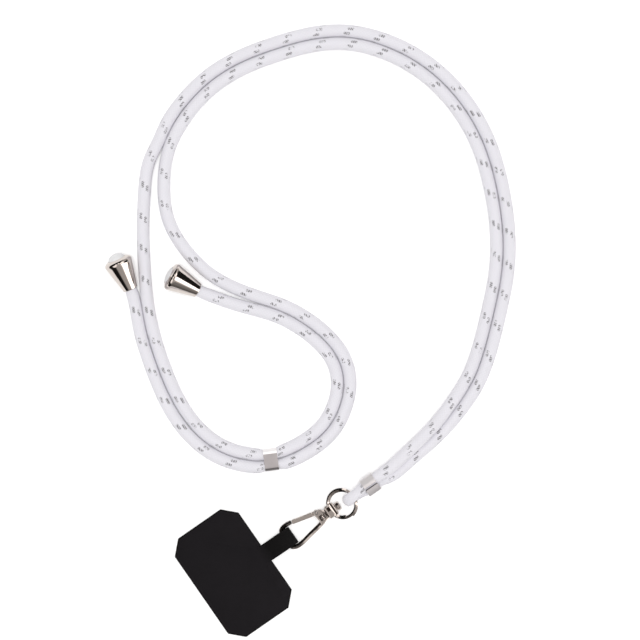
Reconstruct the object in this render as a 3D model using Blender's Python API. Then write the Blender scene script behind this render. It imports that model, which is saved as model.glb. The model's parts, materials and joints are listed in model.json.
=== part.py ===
"""Phone crossbody strap, laid out flat on a table.

One braided cord is folded in half through a split ring and crimped there. Its two runs lie
side by side round a big loop, pass each other in a slider clip and stop in two metal bells.
The ring carries a swivel snap hook, and the hook's bar carries a thin cloth tether patch.

World: X to the right, Y up the sheet, Z up from the table at zero, in metres.
Clasp frame: u along the clasp towards the crimp, v across it, z up from the swivel's axis.
"""

import math

import bmesh
import bpy
import numpy as np
from mathutils import Matrix, Vector

MM = 0.001
CLEARANCE = 0.3 * MM
TABLE_GAP = 0.1 * MM

# The cord and its two metal clips
CORD_RADIUS = 3.2 * MM
PAIR_HALF = 3.35 * MM
CLIP_LENGTH = 7.0 * MM
CLIP_WALL = 0.6 * MM
CLIP_MOUTH = 4.2 * MM
SLIDER_WIDTH = 11.1 * MM
SLIDER_HEIGHT = 7.0 * MM
SLIDER_CORNER = 1.8 * MM
SLIDER_SEAM = 0.8 * MM
SLIDER_CORD_RADIUS = 2.2 * MM
SLIDER_CORD_HALF = 2.45 * MM
SLIDER_CENTRE = Vector((14.2 * MM, -7.2 * MM, 0.5 * SLIDER_HEIGHT))
SLIDER_TURN = math.radians(7.6)
CRIMP_WIDTH = 11.6 * MM
CRIMP_HEIGHT = 7.0 * MM
CRIMP_CORNER = 2.6 * MM
CRIMP_ROLL = math.radians(62.0)
CRIMP_CORD_RADIUS = 2.35 * MM
CRIMP_CORD_HALF = 2.55 * MM
CRIMP_CENTRE = Vector((64.3 * MM, -19.8 * MM, 5.95 * MM))
CLASP_TURN = math.radians(34.7)

# The line between the two runs, from the crimp up the right side and over the top:
# x, y in millimetres, and roll in degrees, which lifts the inner run on to the outer one
PAIR_TOP = (
    (72.8, -14.5, 56),
    (81.7, -7.3, 48),
    (97.8, 7.7, 34),
    (108.0, 20.1, 18),
    (116.2, 33.0, 6),
    (122.5, 48.5, 0),
    (127.2, 66.7, 0),
    (130.6, 83.4, 0),
    (132.0, 99.7, 0),
    (131.2, 116.0, 0),
    (127.9, 133.2, 0),
    (121.9, 151.3, 0),
    (111.8, 170.0, 0),
    (99.9, 184.1, 0),
    (85.5, 195.1, 0),
    (70.3, 202.3, 0),
    (53.1, 206.4, 0),
    (34.0, 205.3, 0),
    (16.2, 200.5, 0),
    (-1.5, 193.5, 0),
    (-16.7, 184.0, 0),
    (-27.9, 173.0, 0),
    (-36.4, 160.8, 0),
    (-40.6, 151.2, 0),
)

# The line between the two runs down the left side, through the slider and round the small
# loop: x, y in millimetres, and how many points of the tube each row has up to the next
PAIR_LOOP = (
    (-51.1, 72.4, 1),
    (-48.6, 58.2, 1),
    (-44.5, 43.5, 1),
    (-38.5, 27.6, 1),
    (-30.3, 12.7, 1),
    (-19.2, 0.8, 1),
    (-6.8, -5.7, 1),
    (5.3, -7.9, 1),
    (10.2, -7.7, 1),
    (18.2, -6.7, 1),
    (22.9, -5.5, 1),
    (32.2, -0.8, 2),
    (42.5, 8.4, 2),
    (48.8, 20.2, 2),
    (51.0, 32.9, 2),
    (48.1, 44.5, 2),
    (40.0, 54.4, 2),
    (29.3, 62.5, 1),
    (18.7, 68.1, 1),
)

# The stretches where a run lies by itself: x, y in millimetres
OUTER_LEFT = ((-47.0, 144.2), (-49.7, 128.0), (-50.4, 111.3), (-50.1, 97.0), (-49.3, 84.0))
INNER_LEFT = (
    (-39.4, 139.2),
    (-39.8, 126.5),
    (-37.8, 114.4),
    (-33.1, 104.5),
    (-25.8, 94.9),
    (-16.2, 86.2),
    (-5.0, 79.9),
    (7.2, 75.2),
)
OUTER_TO_BELL = ((4.6, 68.8), (-7.6, 72.4), (-17.2, 75.9))
INNER_TO_BELL = ((-55.8, 76.6),)

# The bells: each narrow end's centre, and the way from the narrow to the wide end
BELL_LEFT_AT = (-56.7 * MM, 79.0 * MM)
BELL_LEFT_TURN = math.radians(114.4)
BELL_RIGHT_AT = (-22.6 * MM, 78.2 * MM)
BELL_RIGHT_TURN = math.radians(152.2)
BELL_LENGTH = 16.4 * MM
BELL_WIDE = 7.0 * MM
BELL_NARROW = 3.8 * MM
BELL_WALL = 0.7 * MM
BELL_SHOULDER = 1.7 * MM
BELL_MOUTH = 4.9 * MM
BELL_TILT = math.atan2(BELL_WIDE - BELL_NARROW, BELL_LENGTH - BELL_SHOULDER)
BELL_CORD_RADIUS = 2.75 * MM
BELL_CORD_DEPTH = 5.0 * MM
PLUG_RADIUS = BELL_MOUTH - CLEARANCE
PLUG_RISE = 3.2 * MM
PLUG_SEAT = 3.4 * MM

# The fold through the ring: how far past the crimp it reaches, and its size there
FOLD_BEND = 3.9 * MM
FOLD_APEX = 13.9 * MM
FOLD_HEIGHT = 6.95 * MM
FOLD_LIMB_RADIUS = 2.75 * MM
FOLD_APEX_RADIUS = 2.3 * MM

# The clasp's own frame, the split ring and the swivel eye
CLASP_ORIGIN = Vector((42.3 * MM, -34.6 * MM, 2.3 * MM))
RING_OUTER = 7.9 * MM
RING_WIRE = 0.95 * MM
RING_WIRE_HEIGHT = 0.75 * MM
RING_PITCH = 0.85 * MM
RING_TURNS = 1.93
RING_START = math.radians(-72.0)
RING_TILT = math.radians(18.0)
RING_IN_EYE = 2.3 * MM
RING_ACROSS = -0.25 * MM
EYE_NEAR = 0.3 * MM
EYE_FAR = 5.1 * MM
EYE_HALF_WIDTH = 3.3 * MM
EYE_HALF_HEIGHT = 2.2 * MM
TUNNEL_NEAR = 0.9 * MM
TUNNEL_FAR = 4.3 * MM
TUNNEL_HALF_HEIGHT = 1.6 * MM
WINDOW_HALF_WIDTH = 1.75 * MM
NECK_RADIUS = 1.2 * MM
KNOB_RADIUS = 1.8 * MM
KNOB_NEAR = 6.8 * MM
KNOB_FAR = 8.1 * MM

# The hook, its gate and the pin between them
POST_RADIUS = 0.85 * MM
POST_BORE = POST_RADIUS + CLEARANCE
POST_HEAD = 1.4 * MM
POST_HEAD_NEAR = 1.15 * MM
POST_HEAD_FAR = 1.35 * MM
POST_ROOT = -1.0 * MM
ARM_HALF_THICK = 1.05 * MM
ARM_BEVEL = 0.55 * MM
BODY_HALF_THICK = 2.15 * MM
BODY_BEVEL = 0.7 * MM
PIVOT = Vector((-4.05 * MM, 3.3 * MM, 0.0))
PIN_RADIUS = 0.6 * MM
PIN_HOLE = PIN_RADIUS + CLEARANCE
SLOT_RADIUS = 2.15 * MM
SLOT_HALF_HEIGHT = 0.95 * MM
TONGUE_HALF_THICK = 0.65 * MM
TONGUE_RADIUS = 1.5 * MM
GATE_TURN = math.radians(166.2)
GATE_START = 2.45 * MM
GATE_LENGTH = 11.4 * MM
GATE_HALF_WIDTH = 1.15 * MM

# Outline of the hook's lower arm, bar and nose: u, v in millimetres
HOOK_ARMS = (
    (-3.0, -3.3),
    (-6.4, -4.2),
    (-19.6, -6.4),
    (-22.2, -6.1),
    (-24.4, -4.9),
    (-25.5, -3.0),
    (-25.5, 4.4),
    (-24.9, 6.2),
    (-23.3, 7.3),
    (-20.8, 7.8),
    (-18.5, 7.7),
    (-16.2, 7.2),
    (-15.6, 6.6),
    (-15.7, 5.8),
    (-18.6, 6.1),
    (-22.4, 6.0),
    (-23.4, 5.2),
    (-23.4, -3.3),
    (-22.4, -4.3),
    (-20.0, -4.5),
    (-6.8, -2.3),
    (-4.6, -1.5),
)

# Outline of the hook's body, with the lug round the gate's pivot: u, v in millimetres
HOOK_BODY = (
    (0.0, -2.4),
    (0.0, 2.4),
    (-1.0, 3.3),
    (-2.2, 4.3),
    (-3.6, 4.8),
    (-4.9, 4.6),
    (-5.6, 3.6),
    (-5.5, 2.2),
    (-5.4, -1.6),
    (-7.0, -2.4),
    (-7.3, -4.1),
    (-5.6, -4.2),
    (-2.6, -3.3),
)

# The tether patch: plate, clipped corners, and the tab with its loop round the bar
PATCH_NEAR = -36.4 * MM
PATCH_FAR = -75.6 * MM
PATCH_SIDES = (-28.2 * MM, 32.3 * MM)
PATCH_CLIP = 6.6 * MM
PATCH_THICK = 1.0 * MM
TAB_SIDES = (-3.6 * MM, 5.6 * MM)
TAB_THICK = 1.0 * MM
TAB_END = -20.0 * MM
TAB_ROOT = -40.0 * MM
BAR_CENTRE = -24.45 * MM
BAR_REACH = ARM_HALF_THICK + CLEARANCE

CORD_COLOUR = (0.80, 0.79, 0.84)
PLUG_COLOUR = (0.84, 0.84, 0.85)
NICKEL_COLOUR = (0.70, 0.66, 0.63)
SATIN_COLOUR = (0.52, 0.50, 0.52)
PATCH_COLOUR = (0.016, 0.015, 0.017)

# Moves the whole sheet so that the metal and cloth pieces stand centred over the origin
SHEET_SHIFT = Vector((-0.39 * MM, 0.07 * MM, 0.0))


def clear_scene():
    for old in list(bpy.data.objects):
        bpy.data.objects.remove(old, do_unlink=True)


def finish_of(name, colour, metallic, roughness):
    material = bpy.data.materials.new(name)
    material.use_nodes = True
    shader = material.node_tree.nodes["Principled BSDF"]
    shader.inputs["Base Color"].default_value = (*colour, 1.0)
    shader.inputs["Metallic"].default_value = metallic
    shader.inputs["Roughness"].default_value = roughness
    return material


def nickel(name):
    return finish_of(name, NICKEL_COLOUR, 1.0, 0.12)


def add_mesh(name, bm, material=None):
    """Puts a bmesh into a new mesh object, normals outwards and round sides smooth."""
    bmesh.ops.recalc_face_normals(bm, faces=bm.faces)
    mesh = bpy.data.meshes.new(name)
    bm.to_mesh(mesh)
    bm.free()
    mesh.shade_smooth()
    mesh.set_sharp_from_angle(angle=math.radians(35.0))
    piece = bpy.data.objects.new(name, mesh)
    bpy.context.scene.collection.objects.link(piece)
    if material:
        mesh.materials.append(material)
    return piece


def add_helper(name, bm, parent=None):
    helper = add_mesh(name, bm)
    helper.hide_render = True
    helper.display_type = "WIRE"
    helper.parent = parent
    return helper


def add_boolean(piece, other, operation):
    modifier = piece.modifiers.new(other.name, "BOOLEAN")
    modifier.operation = operation
    modifier.object = other


def add_bevel(piece, width, segments):
    modifier = piece.modifiers.new("rounded edges", "BEVEL")
    modifier.width = width
    modifier.segments = segments
    modifier.limit_method = "ANGLE"
    modifier.angle_limit = math.radians(40.0)


def frame_of(x_axis, y_axis, origin):
    """World matrix from two square axes and an origin."""
    rotation = Matrix((x_axis, y_axis, x_axis.cross(y_axis))).transposed()
    return Matrix.Translation(origin) @ rotation.to_4x4()


def slab(outline, low, high):
    """A bmesh of a flat outline, raised from low to high along Z."""
    bm = bmesh.new()
    corners = [bm.verts.new((x, y, low)) for x, y in outline]
    bottom = bm.faces.new(corners)
    raised = bmesh.ops.extrude_face_region(bm, geom=[bottom], use_keep_orig=True)
    top = [item for item in raised["geom"] if isinstance(item, bmesh.types.BMVert)]
    bmesh.ops.translate(bm, verts=top, vec=(0.0, 0.0, high - low))
    return bm


def in_metres(outline):
    return [(x * MM, y * MM) for x, y in outline]


def block(low, high):
    """A bmesh box between two corners."""
    bm = bmesh.new()
    size = Vector(high) - Vector(low)
    middle = (Vector(high) + Vector(low)) / 2
    place = Matrix.Translation(middle) @ Matrix.Diagonal((*size, 1.0))
    bmesh.ops.create_cube(bm, size=1.0, matrix=place)
    return bm


def turned(profile, steps, ring=False):
    """A bmesh turned about Z from (radius, height) rows. A ring profile closes on itself."""
    bm = bmesh.new()
    verts = [bm.verts.new((radius, 0.0, height)) for radius, height in profile]
    edges = [bm.edges.new(pair) for pair in zip(verts, verts[1:])]
    if ring:
        edges.append(bm.edges.new((verts[-1], verts[0])))
    bmesh.ops.spin(
        bm, geom=verts + edges, axis=(0, 0, 1), angle=math.tau, steps=steps, use_merge=True
    )
    bmesh.ops.remove_doubles(bm, verts=bm.verts, dist=0.001 * MM)
    return bm


def rod(radius, low, high, steps=16):
    """A bmesh cylinder along Z."""
    return turned(((0.0, low), (radius, low), (radius, high), (0.0, high)), steps)


def along_u(bm, centre=Vector()):
    """Turns a bmesh that was made along Z so that it lies along X, the clasp's u."""
    turn = Matrix.Translation(centre) @ Matrix.Rotation(math.radians(90.0), 4, "Y")
    bmesh.ops.transform(bm, matrix=turn, verts=bm.verts)
    return bm


def flat(angle):
    return Vector((math.cos(angle), math.sin(angle), 0.0))


def smooth_curve(rows):
    """A natural cubic spline through the rows, by the distance between them."""
    points = np.array(rows, dtype=float)
    gaps = np.linalg.norm(np.diff(points[:, :3], axis=0), axis=1)
    count = len(points)
    system = np.eye(count)
    right = np.zeros_like(points)
    for i in range(1, count - 1):
        system[i, i - 1 : i + 2] = gaps[i - 1], 2 * (gaps[i - 1] + gaps[i]), gaps[i]
        ahead = (points[i + 1] - points[i]) / gaps[i]
        behind = (points[i] - points[i - 1]) / gaps[i - 1]
        right[i] = 6 * (ahead - behind)
    return points, gaps, np.linalg.solve(system, right)


def curve_point(curve, row, part):
    """The point a part of the way from one row of the curve to the next."""
    points, gaps, bends = curve
    gap = gaps[row]
    start, end = 1 - part, part
    lift = (start**3 - start) * bends[row] + (end**3 - end) * bends[row + 1]
    return start * points[row] + end * points[row + 1] + lift * gap**2 / 6


def tube_points(rows, steps):
    """Points of a tube: each row, and where steps says so, more on the curve to the next."""
    curve = smooth_curve(rows)
    points = []
    for row in range(len(rows) - 1):
        for step in range(steps[row]):
            points.append(curve_point(curve, row, step / steps[row]))
    points.append(curve[0][-1])
    return points


def pair_rows(line, side, inner_over=False):
    """Rows x, y, z, radius of the run on one side of the line between the two runs."""
    rows = []
    for i, entry in enumerate(line):
        here = Vector((entry[0] * MM, entry[1] * MM, 0.0))
        before = line[max(i - 1, 0)]
        after = line[min(i + 1, len(line) - 1)]
        ahead = Vector((after[0] - before[0], after[1] - before[1], 0.0)).normalized()
        across = Vector((-ahead.y, ahead.x, 0.0))
        roll = math.radians(entry[2]) if inner_over else 0.0
        half, radius, height = PAIR_HALF, CORD_RADIUS, CORD_RADIUS
        if (here - SLIDER_CENTRE).xy.length < CLIP_MOUTH:
            half, radius, height = SLIDER_CORD_HALF, SLIDER_CORD_RADIUS, SLIDER_CENTRE.z
        if side > 0:
            height += 2 * half * math.sin(roll)
        place = here + across * side * half * math.cos(roll)
        rows.append((place.x, place.y, height, radius))
    return rows


def crimp_rows(side):
    """Rows of one run inside the crimp, from its middle to just past its upper end."""
    ahead = flat(CLASP_TURN)
    across = Vector((-ahead.y, ahead.x, 0.0))
    lean = across * math.cos(CRIMP_ROLL) + Vector((0, 0, math.sin(CRIMP_ROLL)))
    rows = []
    for reach in (CLEARANCE / 2, CLIP_MOUTH):
        place = CRIMP_CENTRE + ahead * reach + lean * side * CRIMP_CORD_HALF
        rows.append((*place, CRIMP_CORD_RADIUS))
    return rows


def bell_rows(at, turn):
    """Rows of a run at a bell's narrow end and inside it, on the bell's tilted axis."""
    rows = []
    mouth = Vector((*at, BELL_NARROW * math.cos(BELL_TILT) + TABLE_GAP))
    inwards = flat(turn) * math.cos(BELL_TILT) + Vector((0, 0, math.sin(BELL_TILT)))
    for depth, radius in ((-0.5 * MM, BELL_CORD_RADIUS), (BELL_CORD_DEPTH, BELL_CORD_RADIUS)):
        rows.append((*(mouth + inwards * depth), radius))
    return rows


def lying(route):
    """Rows of a stretch that lies by itself on the table."""
    return [(x * MM, y * MM, CORD_RADIUS, CORD_RADIUS) for x, y in route]


def add_tube(name, points):
    """A cord's tube: a curve object with a round bevel and filled caps."""
    data = bpy.data.curves.new(name, "CURVE")
    data.dimensions = "3D"
    data.bevel_depth = CORD_RADIUS
    data.bevel_resolution = 3
    data.use_fill_caps = True
    spline = data.splines.new("POLY")
    spline.points.add(len(points) - 1)
    for knot, (x, y, z, radius) in zip(spline.points, points):
        knot.co = (x, y, z, 1.0)
        knot.radius = radius / CORD_RADIUS
    data.materials.append(finish_of(name, CORD_COLOUR, 0.0, 0.8))
    tube = bpy.data.objects.new(name, data)
    bpy.context.scene.collection.objects.link(tube)
    return tube


def build_cord_runs():
    """The outer run ends in the right bell, the inner run in the left one."""
    steps = [entry[2] for entry in PAIR_LOOP]
    outer = crimp_rows(-1) + pair_rows(PAIR_TOP, -1, inner_over=True) + lying(OUTER_LEFT)
    outer_steps = [1] * len(outer) + steps
    outer += pair_rows(PAIR_LOOP, 1) + lying(OUTER_TO_BELL)
    outer += bell_rows(BELL_RIGHT_AT, BELL_RIGHT_TURN)
    outer_steps += [1] * (len(outer) - len(outer_steps))
    add_tube("cord_outer_run", tube_points(outer, outer_steps))
    inner = crimp_rows(1) + pair_rows(PAIR_TOP, 1, inner_over=True) + lying(INNER_LEFT)
    inner_steps = [1] * len(inner) + steps[-2::-1] + [1]
    inner += pair_rows(PAIR_LOOP, -1)[::-1] + lying(INNER_TO_BELL)
    inner += bell_rows(BELL_LEFT_AT, BELL_LEFT_TURN)
    inner_steps += [1] * (len(inner) - len(inner_steps))
    add_tube("cord_inner_run", tube_points(inner, inner_steps))


def build_cord_fold():
    """The short stretch that goes out of the crimp, round the ring's wire and back in."""
    towards_ring = -flat(CLASP_TURN)
    across = Vector((towards_ring.y, -towards_ring.x, 0.0))
    sway = CRIMP_CORD_HALF * math.cos(CRIMP_ROLL)
    rise = CRIMP_CORD_HALF * math.sin(CRIMP_ROLL)
    bend_at = FOLD_APEX - FOLD_BEND
    rows = []
    for reach, out, radius in (
        (CLEARANCE / 2, rise, CRIMP_CORD_RADIUS),
        (CLIP_MOUTH, rise + 0.1 * MM, CRIMP_CORD_RADIUS),
        (bend_at - 2.2 * MM, FOLD_BEND - 0.3 * MM, FOLD_LIMB_RADIUS),
    ):
        middle = CRIMP_CENTRE.z if radius == CRIMP_CORD_RADIUS else FOLD_HEIGHT
        rows.append((reach, -sway, middle - out, radius))
    for degrees in (-90, -60, -30):
        angle = math.radians(degrees)
        radius = FOLD_LIMB_RADIUS + (FOLD_APEX_RADIUS - FOLD_LIMB_RADIUS) * math.cos(angle)
        reach = bend_at + FOLD_BEND * math.cos(angle)
        rows.append((reach, sway * math.sin(angle), FOLD_HEIGHT + FOLD_BEND * math.sin(angle), radius))
    apex = [(FOLD_APEX, 0.0, FOLD_HEIGHT, FOLD_APEX_RADIUS)]
    upper = []
    for reach, lateral, height, radius in rows[::-1]:
        middle = CRIMP_CENTRE.z if radius == CRIMP_CORD_RADIUS else FOLD_HEIGHT
        upper.append((reach, -lateral, 2 * middle - height, radius))
    points = []
    for reach, lateral, height, radius in rows + apex + upper:
        place = CRIMP_CENTRE + towards_ring * reach + across * lateral
        points.append((place.x, place.y, height, radius))
    add_tube("cord_fold", tube_points(points, [1] * len(points)))


def corner_arcs(width, height, corner):
    """The four corners of a rounded rectangle, each an arc of points, from the low right one."""
    arcs = []
    for quarter, (sx, sy) in enumerate(((1, -1), (1, 1), (-1, 1), (-1, -1))):
        middle = Vector((sx * (width / 2 - corner), sy * (height / 2 - corner)))
        angles = [math.radians(15.0 * step + 90.0 * (quarter - 1)) for step in range(7)]
        arcs.append([middle + corner * flat(angle).xy for angle in angles])
    return arcs


def seam_in_side(size):
    """Way round the section from a seam in the middle of its low side."""
    low = -size[1] / 2
    points = [point for arc in corner_arcs(*size) for point in arc]
    return [(SLIDER_SEAM / 2, low), *points, (-SLIDER_SEAM / 2, low)]


def seam_in_corner(size):
    """Way round the section from a seam in its low right corner."""
    arcs = corner_arcs(*size)
    return arcs[0][2:] + arcs[1] + arcs[2] + arcs[3] + arcs[0][:1]


def build_clip(name, size, way_round, place):
    """A metal band bent into a C round both runs, made along its own Z."""
    width, height, corner = size
    outside = way_round(size)
    inside = way_round((width - 2 * CLIP_WALL, height - 2 * CLIP_WALL, corner - CLIP_WALL))
    bm = slab(outside + inside[::-1], -CLIP_LENGTH / 2, CLIP_LENGTH / 2)
    clip = add_mesh(name, bm, finish_of(name, SATIN_COLOUR, 1.0, 0.38))
    clip.matrix_world = place


def build_clips():
    up = Vector((0, 0, 1))
    ahead = flat(SLIDER_TURN)
    across = Vector((-ahead.y, ahead.x, 0.0))
    slider_size = (SLIDER_WIDTH, SLIDER_HEIGHT, SLIDER_CORNER)
    place = frame_of(across, up, SLIDER_CENTRE)
    build_clip("slider_clip", slider_size, seam_in_side, place)
    ahead = flat(CLASP_TURN)
    across = Vector((-ahead.y, ahead.x, 0.0))
    lean = across * math.cos(CRIMP_ROLL) + up * math.sin(CRIMP_ROLL)
    under = across * math.sin(CRIMP_ROLL) - up * math.cos(CRIMP_ROLL)
    crimp_size = (CRIMP_WIDTH, CRIMP_HEIGHT, CRIMP_CORNER)
    place = frame_of(lean, under, CRIMP_CENTRE)
    build_clip("ring_crimp", crimp_size, seam_in_corner, place)


def bell_profile():
    """Closed profile of a bell, (radius, height) from its narrow end at height zero."""
    slope = (BELL_WIDE - BELL_NARROW) / (BELL_LENGTH - BELL_SHOULDER)
    shoulder = BELL_LENGTH - BELL_SHOULDER
    crown = BELL_MOUTH + BELL_WALL
    outside = [(BELL_NARROW - 0.3 * MM, 0.0), (BELL_NARROW + 0.3 * MM * slope, 0.3 * MM)]
    for degrees in (0, 30, 60, 90):
        angle = math.radians(degrees)
        radius = crown + (BELL_WIDE - crown) * math.cos(angle)
        outside.append((radius, shoulder + BELL_SHOULDER * math.sin(angle)))
    throat = BELL_CORD_RADIUS + CLEARANCE
    inside = [
        (BELL_MOUTH, BELL_LENGTH - 0.2 * MM),
        (BELL_MOUTH, BELL_LENGTH - 1.0 * MM),
        (BELL_WIDE - BELL_WALL, shoulder - 0.4 * MM),
        (throat + slope * BELL_WALL, BELL_WALL),
        (throat, 0.0),
    ]
    return outside + inside


def plug_profile():
    """The white plug that fills a bell's mouth and domes out of it."""
    rim = BELL_LENGTH - 0.2 * MM
    rows = [(0.0, BELL_LENGTH - PLUG_SEAT), (PLUG_RADIUS, BELL_LENGTH - PLUG_SEAT), (PLUG_RADIUS, rim)]
    for degrees in (20, 40, 60, 78):
        angle = math.radians(degrees)
        rows.append((PLUG_RADIUS * math.cos(angle), rim + PLUG_RISE * math.sin(angle)))
    rows.append((0.0, rim + PLUG_RISE))
    return rows


def build_bells():
    for side, at, turn in (
        ("left", BELL_LEFT_AT, BELL_LEFT_TURN),
        ("right", BELL_RIGHT_AT, BELL_RIGHT_TURN),
    ):
        axis = flat(turn) * math.cos(BELL_TILT) + Vector((0, 0, math.sin(BELL_TILT)))
        across = Vector((-math.sin(turn), math.cos(turn), 0.0))
        mouth = Vector((*at, BELL_NARROW * math.cos(BELL_TILT) + TABLE_GAP))
        place = frame_of(across, axis.cross(across), mouth)
        name = "bell_" + side
        bell = add_mesh(name, turned(bell_profile(), 32, ring=True), nickel(name))
        bell.matrix_world = place
        name = "bell_plug_" + side
        material = finish_of(name, PLUG_COLOUR, 0.0, 0.5)
        plug = add_mesh(name, turned(plug_profile(), 24), material)
        plug.matrix_world = place


def add_clasp_frame():
    """The empty on the swivel's axis, where the clasp's u and v start."""
    frame = bpy.data.objects.new("clasp_frame", None)
    bpy.context.scene.collection.objects.link(frame)
    frame.location = CLASP_ORIGIN
    frame.rotation_euler.z = CLASP_TURN
    return frame


def build_split_ring(frame):
    """A flat wire wound just short of two turns, tilted up towards the crimp."""
    bm = bmesh.new()
    middle = RING_OUTER - RING_WIRE / 2
    half, low = RING_WIRE / 2, -RING_WIRE_HEIGHT / 2
    cut = 0.22 * MM
    section = (
        (-half + cut, low),
        (half - cut, low),
        (half, low + cut),
        (half, -low - cut),
        (half - cut, -low),
        (-half + cut, -low),
        (-half, -low - cut),
        (-half, low + cut),
    )
    drop = -RING_PITCH * RING_TURNS / 2
    verts = [bm.verts.new((middle + x, 0.0, z + drop)) for x, z in section]
    edges = [bm.edges.new((verts[i - 1], verts[i])) for i in range(len(verts))]
    steps = 96
    climb = Vector((0.0, 0.0, RING_PITCH * RING_TURNS / steps))
    bmesh.ops.spin(
        bm,
        geom=verts + edges,
        axis=(0, 0, 1),
        dvec=climb,
        angle=math.tau * RING_TURNS,
        steps=steps,
    )
    ends = [edge for edge in bm.edges if edge.is_boundary]
    bmesh.ops.holes_fill(bm, edges=ends, sides=len(section))
    ring = add_mesh("split_ring", bm, nickel("split_ring"))
    ring.parent = frame
    start = Matrix.Rotation(RING_START, 4, "Z")
    tilt = Matrix.Rotation(-RING_TILT, 4, "Y")
    reach = RING_IN_EYE + middle * math.cos(RING_TILT)
    centre = Matrix.Translation((reach, RING_ACROSS, middle * math.sin(RING_TILT)))
    ring.matrix_basis = centre @ tilt @ start


def build_swivel_eye(frame):
    """A small block that the ring runs through, with a window on top and a knob on its far side."""
    low = (EYE_NEAR, -EYE_HALF_WIDTH, -EYE_HALF_HEIGHT)
    high = (EYE_FAR, EYE_HALF_WIDTH, EYE_HALF_HEIGHT)
    eye = add_mesh("swivel_eye", block(low, high), nickel("swivel_eye"))
    eye.parent = frame
    add_bevel(eye, 0.45 * MM, 2)
    knob_profile = (
        (0.0, EYE_FAR - 0.4 * MM),
        (NECK_RADIUS, EYE_FAR - 0.4 * MM),
        (NECK_RADIUS, KNOB_NEAR),
        (KNOB_RADIUS, KNOB_NEAR + 0.2 * MM),
        (KNOB_RADIUS, KNOB_FAR - 0.4 * MM),
        (KNOB_RADIUS - 0.4 * MM, KNOB_FAR),
        (0.0, KNOB_FAR),
    )
    knob = add_helper("eye_knob", along_u(turned(knob_profile, 20)), frame)
    add_boolean(eye, knob, "UNION")
    beyond = 1.0 * MM
    low = (TUNNEL_NEAR, -EYE_HALF_WIDTH - beyond, -TUNNEL_HALF_HEIGHT)
    high = (TUNNEL_FAR, EYE_HALF_WIDTH + beyond, TUNNEL_HALF_HEIGHT)
    tunnel = add_helper("eye_tunnel", block(low, high), frame)
    add_bevel(tunnel, 0.5 * MM, 2)
    add_boolean(eye, tunnel, "DIFFERENCE")
    window_low = (TUNNEL_NEAR + 0.5 * MM, -WINDOW_HALF_WIDTH, 0.0)
    window_high = (TUNNEL_FAR - 0.8 * MM, WINDOW_HALF_WIDTH, EYE_HALF_HEIGHT + beyond)
    window = add_helper("eye_window", block(window_low, window_high), frame)
    add_boolean(eye, window, "DIFFERENCE")
    bore = rod(POST_BORE, EYE_NEAR - beyond, TUNNEL_NEAR + 0.5 * MM, 24)
    add_boolean(eye, add_helper("eye_bore", along_u(bore), frame), "DIFFERENCE")


def build_hook(frame):
    """Body, lower arm, bar and nose in one casting, with the swivel's post on its end."""
    bm = slab(in_metres(HOOK_ARMS), -ARM_HALF_THICK, ARM_HALF_THICK)
    hook = add_mesh("hook", bm, nickel("hook"))
    hook.parent = frame
    add_bevel(hook, ARM_BEVEL, 2)
    bm = slab(in_metres(HOOK_BODY), -BODY_HALF_THICK, BODY_HALF_THICK)
    body = add_helper("hook_body", bm, frame)
    add_bevel(body, BODY_BEVEL, 2)
    add_boolean(hook, body, "UNION")
    post_profile = (
        (0.0, POST_ROOT),
        (POST_RADIUS, POST_ROOT),
        (POST_RADIUS, POST_HEAD_NEAR),
        (POST_HEAD, POST_HEAD_NEAR),
        (POST_HEAD, POST_HEAD_FAR),
        (0.0, POST_HEAD_FAR),
    )
    post = add_helper("hook_post", along_u(turned(post_profile, 20)), frame)
    add_boolean(hook, post, "UNION")
    slot_outline = [
        (PIVOT.x + SLOT_RADIUS * math.cos(angle), PIVOT.y + SLOT_RADIUS * math.sin(angle))
        for angle in (math.radians(15.0 * step - 75.0) for step in range(17))
    ]
    slot_outline += [(-8.5 * MM, 4.6 * MM), (-8.5 * MM, 0.4 * MM), (-5.0 * MM, 0.7 * MM)]
    slot = add_helper("gate_slot", slab(slot_outline, -SLOT_HALF_HEIGHT, SLOT_HALF_HEIGHT), frame)
    add_boolean(hook, slot, "DIFFERENCE")
    hole = add_helper("pin_hole", rod(PIN_HOLE, -4 * MM, 4 * MM, 20), frame)
    hole.location = PIVOT
    add_boolean(hook, hole, "DIFFERENCE")


def build_gate(frame):
    """The sprung arm that closes the hook, with its origin on the pivot and its tip along X."""
    half = GATE_HALF_WIDTH
    outline = (
        (GATE_START, -half),
        (GATE_LENGTH - 0.5 * MM, -half + 0.05 * MM),
        (GATE_LENGTH, -half + 0.5 * MM),
        (GATE_LENGTH, half - 0.5 * MM),
        (GATE_LENGTH - 0.5 * MM, half - 0.05 * MM),
        (GATE_START, half),
    )
    gate = add_mesh("gate", slab(outline, -ARM_HALF_THICK, ARM_HALF_THICK), nickel("gate"))
    gate.parent = frame
    gate.location = PIVOT
    gate.rotation_euler.z = GATE_TURN
    add_bevel(gate, ARM_BEVEL, 2)
    tongue_outline = [
        (TONGUE_RADIUS * math.cos(angle), TONGUE_RADIUS * math.sin(angle))
        for angle in (math.radians(20.0 * step + 50.0) for step in range(14))
    ]
    tongue_outline += [(GATE_START + 1.0 * MM, -0.9 * MM), (GATE_START + 1.0 * MM, 0.9 * MM)]
    bm = slab(tongue_outline, -TONGUE_HALF_THICK, TONGUE_HALF_THICK)
    tongue = add_helper("gate_tongue", bm, gate)
    add_boolean(gate, tongue, "UNION")
    hole = add_helper("gate_hole", rod(PIN_HOLE, -4 * MM, 4 * MM, 20), gate)
    add_boolean(gate, hole, "DIFFERENCE")


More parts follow.
